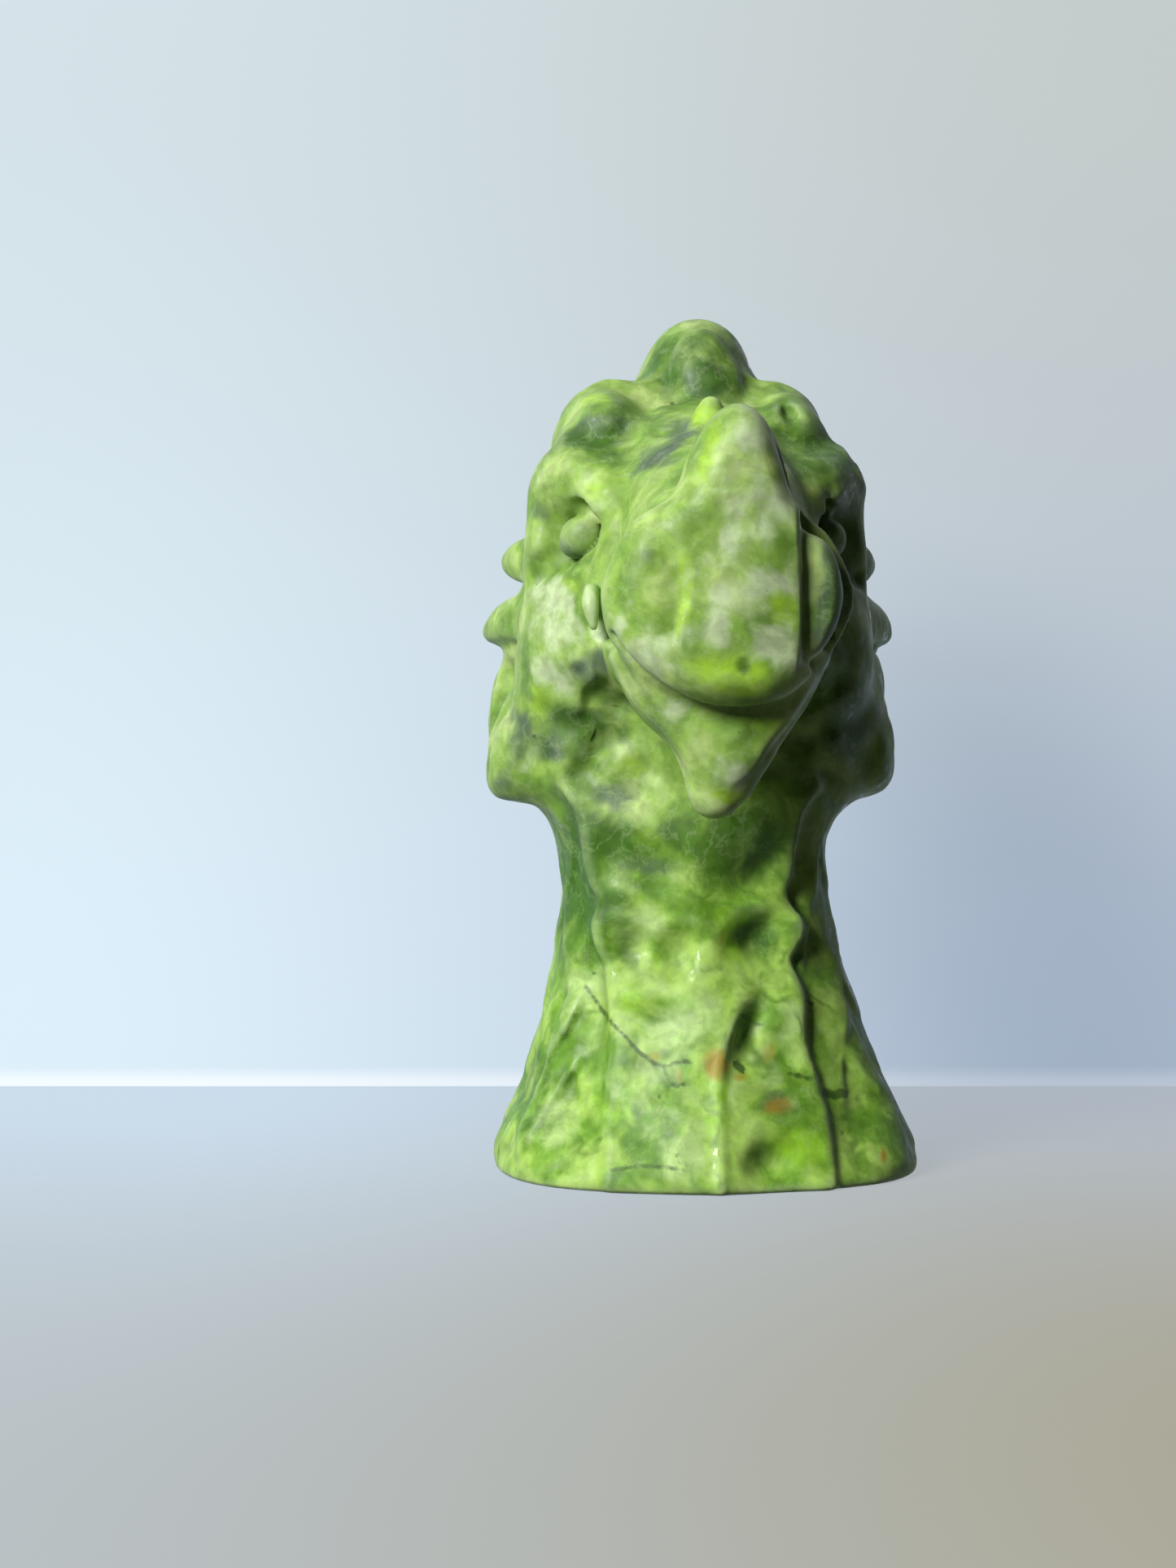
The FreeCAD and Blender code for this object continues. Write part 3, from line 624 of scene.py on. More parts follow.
class Block:
    """The stone while it is carved: distances to its surface, and whose mass each place is.

    Attributes:
        axes: the grid's places along X, Y and Z, in millimetres.
        field: distances, negative inside the stone.
        mass: numbers of the masses.
    """

    def __init__(self, low: Point, high: Point, pitch: float) -> None:
        """Makes an empty grid.

        Args:
            low: its lowest corner.
            high: its highest corner.
            pitch: its step.
        """
        self.pitch = pitch
        self.axes = [np.arange(start, end + pitch, pitch, dtype=np.float32) for start, end in zip(low, high)]
        shape = tuple(len(axis) for axis in self.axes)
        self.field = np.full(shape, 9.0, np.float32)
        self.mass = np.zeros(shape, np.uint8)

    def window(self, low: Point, high: Point, margin: float) -> Window:
        """The part of the grid inside a box, with a margin."""
        cut = []
        for axis, start, end in zip(self.axes, low, high):
            first = max(int(np.searchsorted(axis, start - margin)) - 1, 0)
            last = min(int(np.searchsorted(axis, end + margin)) + 1, len(axis))
            cut.append(slice(first, max(last, first + 1)))
        return tuple(cut)

    def places(self, cut: Window) -> tuple[Array, Array, Array]:
        """The X, Y and Z of a window, shaped to broadcast."""
        x, y, z = (axis[part] for axis, part in zip(self.axes, cut))
        return x[:, None, None], y[None, :, None], z[None, None, :]

    def add(self, form: Form, mass: Mass, soft: float = 1.0) -> None:
        """Adds a form.

        Args:
            form: the form.
            mass: the mass that it belongs to.
            soft: how far it blends into what is there.
        """
        cut = self.window(*form.reach(), soft + REACH_MARGIN)
        found = form.distance(*self.places(cut)).astype(np.float32)
        here = self.field[cut]
        self.mass[cut][found < here] = mass.number
        self.field[cut] = smooth_least(here, found, soft)

    def cut(self, form: Form, soft: float = 0.5) -> None:
        """Cuts a form out of the stone, with a rim rounded by soft."""
        cut = self.window(*form.reach(), soft + REACH_MARGIN)
        found = form.distance(*self.places(cut)).astype(np.float32)
        self.field[cut] = smooth_most(self.field[cut], -found, soft)

    def mark(self, view: View, span: Flat, reliefs: Iterable[Relief], fade: float = 1.5) -> None:
        """Raises or sinks the surface by marks drawn in a view.

        Args:
            view: the view that they are drawn in.
            span: the depths between which they reach the stone.
            reliefs: the marks.
            fade: how softly they begin and end at those depths.
        """
        first, second, depth = view.value
        for relief in reliefs:
            low, high = relief.reach()
            lowest = [0.0, 0.0, 0.0]
            highest = [0.0, 0.0, 0.0]
            lowest[first], lowest[second], lowest[depth] = low[0], low[1], span[0]
            highest[first], highest[second], highest[depth] = high[0], high[1], span[1]
            cut = self.window(tuple(lowest), tuple(highest), 0.0)
            places = self.places(cut)
            height = relief.height_at(places[first], places[second])
            inward = smooth_step((places[depth] - span[0]) / fade)
            inward = inward * smooth_step((span[1] - places[depth]) / fade)
            self.field[cut] -= (height * inward).astype(np.float32)

    def mark_both(self, span: Flat, reliefs: Sequence[Stroke | Dimple]) -> None:
        """Raises or sinks marks drawn in front view, and their mirror images."""
        self.mark(View.FRONT, span, reliefs)
        self.mark(View.FRONT, span, [relief.mirrored() for relief in reliefs])


@dataclass
class Skin:
    """The carving's surface.

    Attributes:
        points: vertex places in millimetres.
        quads: four vertex numbers for each face, anticlockwise seen from outside.
        owner: the mass number of each face.
        normals: the surface direction at each vertex.
    """

    points: Array
    quads: Array
    owner: Array
    normals: Array = field(default_factory=lambda: np.zeros((0, 3)))


def sampled(grid: Array, places: Array) -> Array:
    """Values of a grid between its points, at places given in grid steps."""
    limit = np.asarray(grid.shape) - 2
    base = np.clip(np.floor(places).astype(np.int64), 0, limit)
    share = places - base
    total = np.zeros(len(places))
    for corner in np.ndindex(2, 2, 2):
        weight = np.ones(len(places))
        for axis in range(3):
            weight = weight * (share[:, axis] if corner[axis] else 1.0 - share[:, axis])
        at = base + corner
        total += weight * grid[at[:, 0], at[:, 1], at[:, 2]]
    return total


class Wrapper:
    """Draws a skin of quads round a carved block."""

    def __init__(self, block: Block) -> None:
        """Takes the block to wrap."""
        self.block = block
        self.solid = block.field < 0.0

    def cells(self) -> tuple[Array, Array]:
        """The grid cells that the surface passes through, and the surface's place in each, in grid steps."""
        count = np.zeros(tuple(size - 1 for size in self.solid.shape), np.uint8)
        for corner in np.ndindex(2, 2, 2):
            cut = tuple(slice(1, None) if step else slice(None, -1) for step in corner)
            count += self.solid[cut]
        active = np.argwhere((count > 0) & (count < 8))
        corners = {}
        for corner in np.ndindex(2, 2, 2):
            at = active + corner
            corners[corner] = self.block.field[at[:, 0], at[:, 1], at[:, 2]].astype(float)
        total = np.zeros((len(active), 3))
        hits = np.zeros(len(active))
        for corner in corners:
            for axis in range(3):
                if corner[axis]:
                    continue
                far = tuple(1 if other == axis else step for other, step in enumerate(corner))
                start, end = corners[corner], corners[far]
                crossed = (start < 0) != (end < 0)
                share = np.where(crossed, start / np.where(crossed, start - end, 1.0), 0.0)
                place = np.tile(np.asarray(corner, float), (len(active), 1))
                place[:, axis] = share
                total += place * crossed[:, None]
                hits += crossed
        return active, active + total / hits[:, None]

    def faces(self, active: Array) -> Array:
        """The quads between active cells, one for each grid edge that the surface crosses."""
        number = np.full(tuple(size - 1 for size in self.solid.shape), -1, np.int32)
        number[active[:, 0], active[:, 1], active[:, 2]] = np.arange(len(active))
        quads = []
        for axis in range(3):
            first, second = [(axis + 1) % 3, (axis + 2) % 3]
            lower = [slice(1, -1)] * 3
            lower[axis] = slice(None, -1)
            upper = list(lower)
            upper[axis] = slice(1, None)
            start, end = self.solid[tuple(lower)], self.solid[tuple(upper)]
            for leaves in (True, False):
                crossed = np.argwhere(start & ~end if leaves else ~start & end)
                offset = np.ones(3, int)
                offset[axis] = 0
                crossed = crossed + offset
                ring = []
                for step in ((0, 0), (1, 0), (1, 1), (0, 1)):
                    at = crossed.copy()
                    at[:, first] -= 1 - step[0]
                    at[:, second] -= 1 - step[1]
                    ring.append(number[at[:, 0], at[:, 1], at[:, 2]])
                quads.append(np.stack(ring if leaves else ring[::-1], axis=1))
        return np.vstack(quads)

    def settled(self, places: Array) -> Array:
        """Places moved onto the true surface along its slope."""
        slope = np.zeros_like(places)
        for axis in range(3):
            step = np.zeros(3)
            step[axis] = 0.5
            ahead = sampled(self.block.field, places + step)
            slope[:, axis] = ahead - sampled(self.block.field, places - step)
        square = np.maximum((slope ** 2).sum(axis=1), 1e-4)
        travel = np.clip(sampled(self.block.field, places) / square, -1.0, 1.0)
        return places - slope * travel[:, None]

    def skin(self) -> Skin:
        """The finished surface, in millimetres."""
        active, places = self.cells()
        quads = self.faces(active)
        for _ in range(2):
            places = self.settled(evened(places, quads, 0.5))
        places = self.settled(places)
        middles = places[quads].mean(axis=1)
        near = np.rint(middles).astype(int)
        owner = self.block.mass[near[:, 0], near[:, 1], near[:, 2]]
        origin = np.array([axis[0] for axis in self.block.axes])
        return Skin(places * self.block.pitch + origin, quads, voted(owner, quads, len(places)))


def evened(places: Array, quads: Array, share: float) -> Array:
    """Vertices moved a share of the way towards the middle of their neighbours."""
    total = np.zeros_like(places)
    count = np.zeros(len(places))
    for step in (1, 3):
        near = np.roll(quads, -step, axis=1).ravel()
        for axis in range(3):
            total[:, axis] += np.bincount(quads.ravel(), places[near, axis], len(places))
        count += np.bincount(quads.ravel(), minlength=len(places))
    return places + share * (total / np.maximum(count, 1)[:, None] - places)


def voted(owner: Array, quads: Array, vertex_count: int, rounds: int = 6) -> Array:
    """Smooths the borders between masses: each face takes the mass that most of its surroundings have."""
    for _ in range(rounds):
        votes = np.zeros((vertex_count, len(MASSES)), np.float32)
        for corner in range(4):
            np.add.at(votes, (quads[:, corner], owner), 1.0)
        owner = votes[quads].sum(axis=1).argmax(axis=1)
    return owner


def vertex_normals(points: Array, quads: Array) -> Array:
    """The direction of the surface at each vertex."""
    corner = points[quads]
    facing = np.cross(corner[:, 2] - corner[:, 0], corner[:, 3] - corner[:, 1])
    total = np.zeros_like(points)
    for axis in range(3):
        weight = np.repeat(facing[:, axis], 4)
        total[:, axis] = np.bincount(quads.ravel(), weight, len(points))
    return total / np.maximum(np.linalg.norm(total, axis=1), 1e-9)[:, None]


def ground_noise(points: Array, size: float, seed: int) -> Array:
    """Smooth random values from -1 to 1 at points.

    Args:
        points: the places, in millimetres.
        size: the distance over which the values change.
        seed: picks one pattern.

    Returns:
        One value for each point.
    """
    scaled = points / size + 100.0 + 17.3 * seed
    base = np.floor(scaled).astype(np.int64)
    share = scaled - base
    share = share * share * (3.0 - 2.0 * share)
    total = np.zeros(len(points))
    for corner in np.ndindex(2, 2, 2):
        at = (base + corner).astype(np.uint64)
        mixed = at[:, 0] * HASH_PRIMES[0] ^ at[:, 1] * HASH_PRIMES[1] ^ at[:, 2] * HASH_PRIMES[2]
        mixed = (mixed ^ (mixed >> np.uint64(13))) * HASH_PRIMES[3] + np.uint64(seed)
        value = ((mixed ^ (mixed >> np.uint64(16))) & np.uint64(0xFFFF)).astype(float) / 32767.5 - 1.0
        weight = np.ones(len(points))
        for axis in range(3):
            weight = weight * (share[:, axis] if corner[axis] else 1.0 - share[:, axis])
        total += weight * value
    return total


@dataclass
class Neck:
    """The neck on its flared foot, with the throat panel down its front."""

    sides: tuple[Station, ...] = (
        Station(-3.0, (0.0, 0.0), 26.2, 28.0, 23.9, 25.9, 2.7),
        Station(0.8, (0.0, 0.0), 26.2, 28.0, 23.9, 25.9, 2.7),
        Station(3.3, (0.0, 0.0), 25.7, 27.6, 22.9, 25.6, 2.6),
        Station(9.6, (0.0, 0.0), 22.8, 25.2, 19.4, 24.0, 2.4),
        Station(16.0, (0.0, 0.0), 20.9, 22.4, 17.2, 22.6),
        Station(22.3, (0.0, 0.0), 19.2, 20.2, 15.5, 21.2),
        Station(28.7, (0.0, 0.0), 18.0, 18.3, 14.6, 20.2),
        Station(35.1, (0.0, 0.0), 17.4, 17.0, 14.0, 19.8),
        Station(41.4, (0.0, 0.0), 18.0, 16.9, 13.6, 20.2),
        Station(46.8, (0.0, 0.0), 19.6, 18.6, 13.2, 21.0, 2.4),
        Station(54.0, (0.0, 0.0), 19.5, 19.5, 12.0, 21.0, 2.4),
    )
    panel_heights: tuple[float, ...] = (
        -2.0, 5.0, 9.0, 12.6, 18.0, 22.5, 26.5, 28.6, 31.5, 34.5, 37.3, 41.0, 45.4, 49.0,
    )
    panel_right: tuple[float, ...] = (
        14.2, 13.7, 13.6, 13.1, 12.4, 12.6, 13.1, 13.9, 14.4, 13.7, 15.0, 15.6, 16.4, 18.6,
    )
    panel_left: tuple[float, ...] = (
        15.0, 14.7, 14.2, 13.4, 12.3, 12.2, 11.8, 12.5, 12.9, 11.8, 12.2, 12.5, 12.8, 15.0,
    )
    right_edge_proud: float = 0.26  # how far the panel's edges stand out
    left_edge_proud: float = 0.78
    foot_edge_proud: float = 0.3  # added to the left edge at the foot
    edge_sink: float = 2.6  # by how many times that much they fall back under the jaw
    edge_soft: float = 1.1
    foot_half: float = 27.0  # half the foot's width, as the panel's edges see it
    foot_degree: float = 2.7  # how square the neck is at the foot
    degree_fall: float = 0.4  # how much rounder it is above the flare
    flare_height: float = 16.0
    keel_round: float = 0.1
    fold_power: float = 1.25  # over 1 for a blunter keel
    panel_back: float = -6.0  # the panel lies in front of this Y
    panel_soft: float = 0.9
    keel_heights: tuple[float, ...] = (-2.0, 3.0, 10.0, 16.0, 24.0, 34.0, 43.0, 48.0, 54.0)
    keel_proud: tuple[float, ...] = (1.4, 2.2, 3.4, 3.4, 2.6, 2.0, 2.0, 0.6, -2.5)
    row_height: float = 8.2  # of the scales round the neck
    scale_width: float = 9.6
    scale_proud: float = 0.8
    scale_slant: float = 0.22  # how far the rows fall towards the front, per millimetre round the neck
    mean_radius: float = 20.0
    turn_steps: int = 720  # places round the neck at which the scales are worked out

    def front_at(self, heights: Array) -> Array:
        """The neck's reach to the front at heights."""
        return smooth_column([s.at for s in self.sides], [s.low for s in self.sides], heights)

    def carve(self, block: Block) -> None:
        """Shapes the column, the panel and the scales."""
        block.add(Trunk(self.sides, end_soft=0.0), Mass.NECK, 0.0)
        self.add_scales(block)
        self.add_panel(block)
        self.mark_panel(block)

    def add_panel(self, block: Block) -> None:
        """Adds the raised strip, folded to a keel."""
        cut = block.window((-22.0, -30.0, -3.0), (20.0, 0.0, 54.0), 0.0)
        x, y, z = block.places(cut)
        right = smooth_column(self.panel_heights, self.panel_right, z.ravel()).reshape(z.shape)
        left = smooth_column(self.panel_heights, self.panel_left, z.ravel()).reshape(z.shape)
        keel = smooth_column(self.keel_heights, self.keel_proud, z.ravel()).reshape(z.shape)
        reach = self.front_at(z.ravel()).reshape(z.shape)
        half = np.where(x < 0, right, left)
        square = self.foot_degree - self.degree_fall * smooth_step(z / self.flare_height)
        rim = reach * (1.0 - np.clip(half / self.foot_half, 0.0, 0.9) ** square) ** (1.0 / square)
        proud = np.where(x < 0, self.right_edge_proud, self.left_edge_proud)
        proud = proud + np.where(x < 0, 0.0, self.foot_edge_proud) * smooth_step(1.0 - z / 14.0)
        rim = rim + proud * (1.0 - self.edge_sink * smooth_step((z - 40.0) / 12.0))
        share = np.clip(np.abs(x) / half, 0.0, 1.0)
        share = np.sqrt(share ** 2 + self.keel_round ** 2) - self.keel_round
        face = -(reach + keel) + (reach + keel - rim) * share ** self.fold_power
        found = smooth_most(0.9 * (face - y), np.abs(x) - half, self.edge_soft).astype(np.float32)
        here = block.field[cut]
        block.mass[cut][(found < here) & (y < self.panel_back)] = Mass.THROAT_PANEL.number
        block.field[cut] = smooth_least(here, found, self.panel_soft)

    def mark_panel(self, block: Block) -> None:
        """Carves the panel's scutes: hollows under scalloped rims, and the keel."""
        marks = (
            Dimple((6.8, 38.4), (6.0, 3.2), 2.4, 34.0, 1.6),
            Dimple((10.0, 35.6), (3.0, 2.4), 1.0, 20.0),
            Dimple((5.2, 29.4), (3.2, 2.8), 2.0, 30.0, 1.6),
            Dimple((8.6, 27.6), (4.8, 3.8), 1.6, 10.0, 1.6),
            Dimple((7.4, 31.6), (3.6, 1.6), 0.8, 24.0, 1.6),
            Dimple((4.7, 18.8), (1.7, 3.9), 1.9, -28.0, 1.6),
            Dimple((7.6, 16.0), (3.6, 3.2), 1.2, -20.0),
            Dimple((6.0, 3.6), (2.9, 2.2), 1.7, 16.0, 2.4),
            Dimple((9.4, 2.4), (3.8, 2.2), 1.0),
            Dimple((-6.6, 39.2), (4.6, 2.8), 0.9, -10.0, 2.4),
            Dimple((-12.0, 40.5), (2.0, 3.4), 0.5),
            Dimple((-9.6, 28.7), (2.5, 2.3), 1.1, 15.0, 2.4),
            Dimple((-4.2, 28.0), (2.3, 2.7), 1.3, -20.0, 2.4),
            Dimple((-6.4, 20.2), (3.4, 2.4), 0.5, 12.0, 2.2),
            Dimple((-8.2, 14.6), (3.0, 1.6), 0.3, 8.0),
            Dimple((-16.2, 9.4), (1.7, 5.6), 0.8, -6.0, 2.2),
            Dimple((17.2, 6.4), (1.9, 6.5), 0.5, 8.0, 2.2),
            Stroke(
                ((3.4, 21.6), (1.4, 17.4), (0.5, 14.0), (0.3, 9.0), (0.3, 4.0), (0.0, -2.0)),
                0.5, 0.9, 1.0, 0.12,
            ),
            Stroke(((-14.6, 25.4), (-17.4, 19.6), (-20.4, 14.2), (-24.4, 7.6)), 1.2, 0.8, 2.2),
            Stroke(((-14.6, 17.0), (-18.4, 12.0), (-22.0, 6.6), (-25.0, 2.6)), 0.9, 0.8, 2.2),
            Stroke(((-17.6, 33.0), (-19.0, 28.0), (-20.4, 23.0)), 0.6, 0.9, 1.6, 0.3),
            Stroke(((15.8, 25.0), (17.6, 20.0), (20.6, 13.8), (23.8, 8.0), (26.0, 3.6)), 0.5, 1.6, 1.4, 0.2),
            Stroke(((-18.4, 17.6), (-21.4, 12.2), (-24.0, 6.6)), -0.4, 1.1, 1.0, 0.3),
            Stroke(((15.6, 16.8), (17.8, 11.4), (20.4, 5.6)), -0.3, 1.6, 1.0, 0.3),
            Stroke(
                ((-13.5, 32.4), (-9.8, 32.6), (-7.0, 31.2), (-4.2, 32.2), (-0.6, 32.0), (1.0, 30.0)),
                0.35, 1.1,
            ),
            Stroke(((0.6, 26.0), (0.4, 29.4), (2.6, 32.8), (6.6, 34.2), (10.6, 33.2)), 0.25, 1.4),
            Stroke(((-13.6, 23.4), (-9.0, 22.8), (-4.0, 23.8), (0.2, 22.6)), 0.2, 1.8),
            Stroke(((0.6, 13.4), (2.2, 18.0), (4.0, 22.4), (7.4, 24.0)), 0.25, 1.4),
            Stroke(((2.0, 1.6), (2.8, 5.0), (5.2, 7.8), (9.8, 7.4)), 0.2, 1.4),
            Stroke(((-14.2, 35.4), (-9.0, 35.6), (-3.0, 34.8), (0.6, 34.4)), 0.25, 1.6),
        )
        block.mark(View.FRONT, (-34.0, -8.0), marks)

    def add_scales(self, block: Block) -> None:
        """Cuts the overlapping scales that run round the sides and the back of the neck."""
        cut = block.window((-31.0, -28.0, -3.0), (31.0, 30.0, 50.0), 0.0)
        x, y, z = block.places(cut)
        turn = np.arctan2(x, y + 1.0)  # 0 behind, growing towards the dragon's left
        shown = smooth_step((np.pi - 0.72 - np.abs(turn)) / 0.22)
        heights = block.axes[2][cut[2]]
        turns = np.linspace(-np.pi, np.pi, self.turn_steps + 1)
        arc = np.abs(turns)[:, None] * self.mean_radius
        rise = self.scale_map(arc, heights[None, :].astype(float))
        column = np.rint((turn + np.pi) / (2.0 * np.pi) * self.turn_steps).astype(int)
        lifted = rise[np.clip(column, 0, self.turn_steps)[:, :, 0]]
        fade = smooth_step((z - 0.6) / 2.5) * smooth_step((49.0 - z) / 4.0)
        block.field[cut] -= (lifted * shown * fade).astype(np.float32)

    def scale_map(self, arc: Array, heights: Array) -> Array:
        """The relief of scales that hang down and back, over the distance round the neck and the height."""
        rise = np.full(np.broadcast(arc, heights).shape, -9.0)
        slanted = heights + self.scale_slant * arc
        for row in range(-3, 14):
            shift = 0.5 * (row % 2)
            cell = arc / self.scale_width + shift
            across = 2.0 * (cell - np.floor(cell)) - 1.0
            edge = row * self.row_height - 0.78 * self.row_height * (1.0 - across ** 2)
            above = slanted - edge
            fall = np.exp(-np.maximum(above, 0.0) / (0.55 * self.row_height))
            proud = self.scale_proud * fall * (1.0 - 0.3 * across ** 2)
            rise = np.where(above > 0.0, proud, rise)
        rise = np.where(rise < -1.0, 0.0, rise)
        blur = np.array([0.25, 0.5, 0.25])
        for _ in range(4):
            rise = np.apply_along_axis(lambda line: np.convolve(line, blur, mode="same"), 1, rise)
            rise = np.apply_along_axis(lambda line: np.convolve(line, blur, mode="same"), 0, rise)
        return rise - 0.35 * self.scale_proud


@dataclass
class Head:
    """The skull, with the lower face and its flaps."""

    stations: tuple[Station, ...] = (
        Station(44.0, (0.0, 0.0), 17.0, 17.0, 10.0, 20.0, 2.4),
        Station(47.5, (0.0, 0.0), 19.6, 19.6, 11.6, 21.6, 2.4),
        Station(52.0, (0.0, 0.0), 20.8, 20.8, 12.8, 23.0, 2.4),
        Station(60.0, (0.0, 0.0), 21.6, 21.6, 13.4, 24.2, 2.5),
        Station(70.0, (0.0, 0.0), 21.8, 21.8, 12.8, 25.0, 2.5),
        Station(78.0, (0.0, 0.0), 21.7, 20.6, 12.2, 25.0, 2.5),
        Station(86.0, (0.0, 0.0), 20.2, 19.4, 11.4, 24.4, 2.4),
        Station(92.0, (0.0, 0.0), 18.0, 17.4, 8.6, 23.0),
        Station(97.0, (0.0, 0.0), 15.4, 15.0, 4.6, 20.0),
        Station(99.6, (0.0, 0.0), 14.0, 13.4, 2.6, 16.0),
        Station(101.5, (0.0, 0.0), 12.6, 11.6, 1.0, 13.0, 2.2),
    )
    narrow_lappet: Slab = Slab(
        ((16.0, 66.0), (21.5, 67.6), (26.0, 66.8), (27.2, 64.0), (27.3, 60.8), (27.7, 58.2), (28.4, 55.6),
         (28.6, 53.0), (28.5, 50.8), (27.9, 49.3), (26.2, 48.0), (22.2, 47.2), (17.0, 47.0), (14.0, 50.0)),
        Sheet(-8.0, (18.0, 56.0), (0.66, 0.04), (0.02, 0.035)),
        Sheet(8.5, (18.0, 56.0), (-0.1, 0.0), (0.0, -0.04)),
        1.8, 1.2, 4.0, 2.2,
    )
    lappet: Slab = Slab(
        ((15.0, 65.0), (20.5, 66.5), (23.0, 65.5), (23.3, 63.2), (24.6, 59.6), (26.0, 56.3), (26.9, 53.6),
         (27.3, 51.0), (27.2, 49.2), (26.4, 47.8), (25.0, 47.0), (21.6, 46.7), (17.0, 46.9), (14.0, 50.0)),
        Sheet(-8.6, (18.0, 56.0), (0.62, 0.04), (0.02, 0.035)),
        Sheet(8.5, (18.0, 56.0), (-0.1, 0.0), (0.0, -0.04)),
        1.8, 1.2, 4.0, 2.2,
    )
    frill: Slab = Slab(
        ((14.0, 66.0), (20.0, 67.6), (23.4, 66.8), (25.0, 65.0), (26.0, 62.4), (26.5, 59.4), (26.8, 55.9),
         (26.6, 52.6), (25.2, 50.4), (21.0, 49.8), (14.0, 50.0)),
        Sheet(9.4, (20.0, 58.0), (0.15, 0.0)),
        Sheet(20.6, (20.0, 58.0), (-0.55, 0.0), (-0.02, -0.05)),
        1.0, 1.2, 4.0, 1.8,
    )

    def carve(self, block: Block) -> None:
        """Adds the skull and the flaps."""
        block.add(Trunk(self.stations), Mass.SKULL, 2.2)
        for side in Side:
            block.add(self.frill.mirrored(side), side.mass("frill"), 1.6)
            lappet = self.narrow_lappet if side is Side.LEFT else self.lappet
            block.add(lappet.mirrored(side), side.mass("lappet"), 2.6)
        self.mark_lower_face(block)

    def mark_lower_face(self, block: Block) -> None:
        """Carves the soft hollows and folds between the jaw and the flaps."""
        marks = (
            Dimple((-17.6, 57.4), (4.4, 1.8), 1.5, -14.0),
            Dimple((-12.0, 54.6), (3.2, 1.8), 1.2, 24.0),
            Dimple((-21.0, 52.2), (2.2, 2.4), 1.0),
            Dimple((-23.6, 56.4), (1.3, 3.6), 0.8, 12.0),
            Dimple((-15.6, 50.6), (2.4, 1.5), 1.0, 16.0),
            Dimple((-8.6, 50.4), (2.4, 1.8), 1.0, 30.0),
            Stroke(((-22.8, 62.0), (-23.4, 57.4), (-24.0, 53.0), (-24.6, 49.4)), 0.5, 1.1),
            Stroke(((-20.4, 61.8), (-17.0, 60.4), (-13.0, 57.6), (-10.4, 54.4)), 0.3, 1.6),
            Stroke(((-18.6, 55.4), (-15.4, 54.8), (-12.6, 51.0), (-10.0, 48.6)), 0.3, 1.5),
        )
        block.mark_both((-24.0, 5.0), marks)


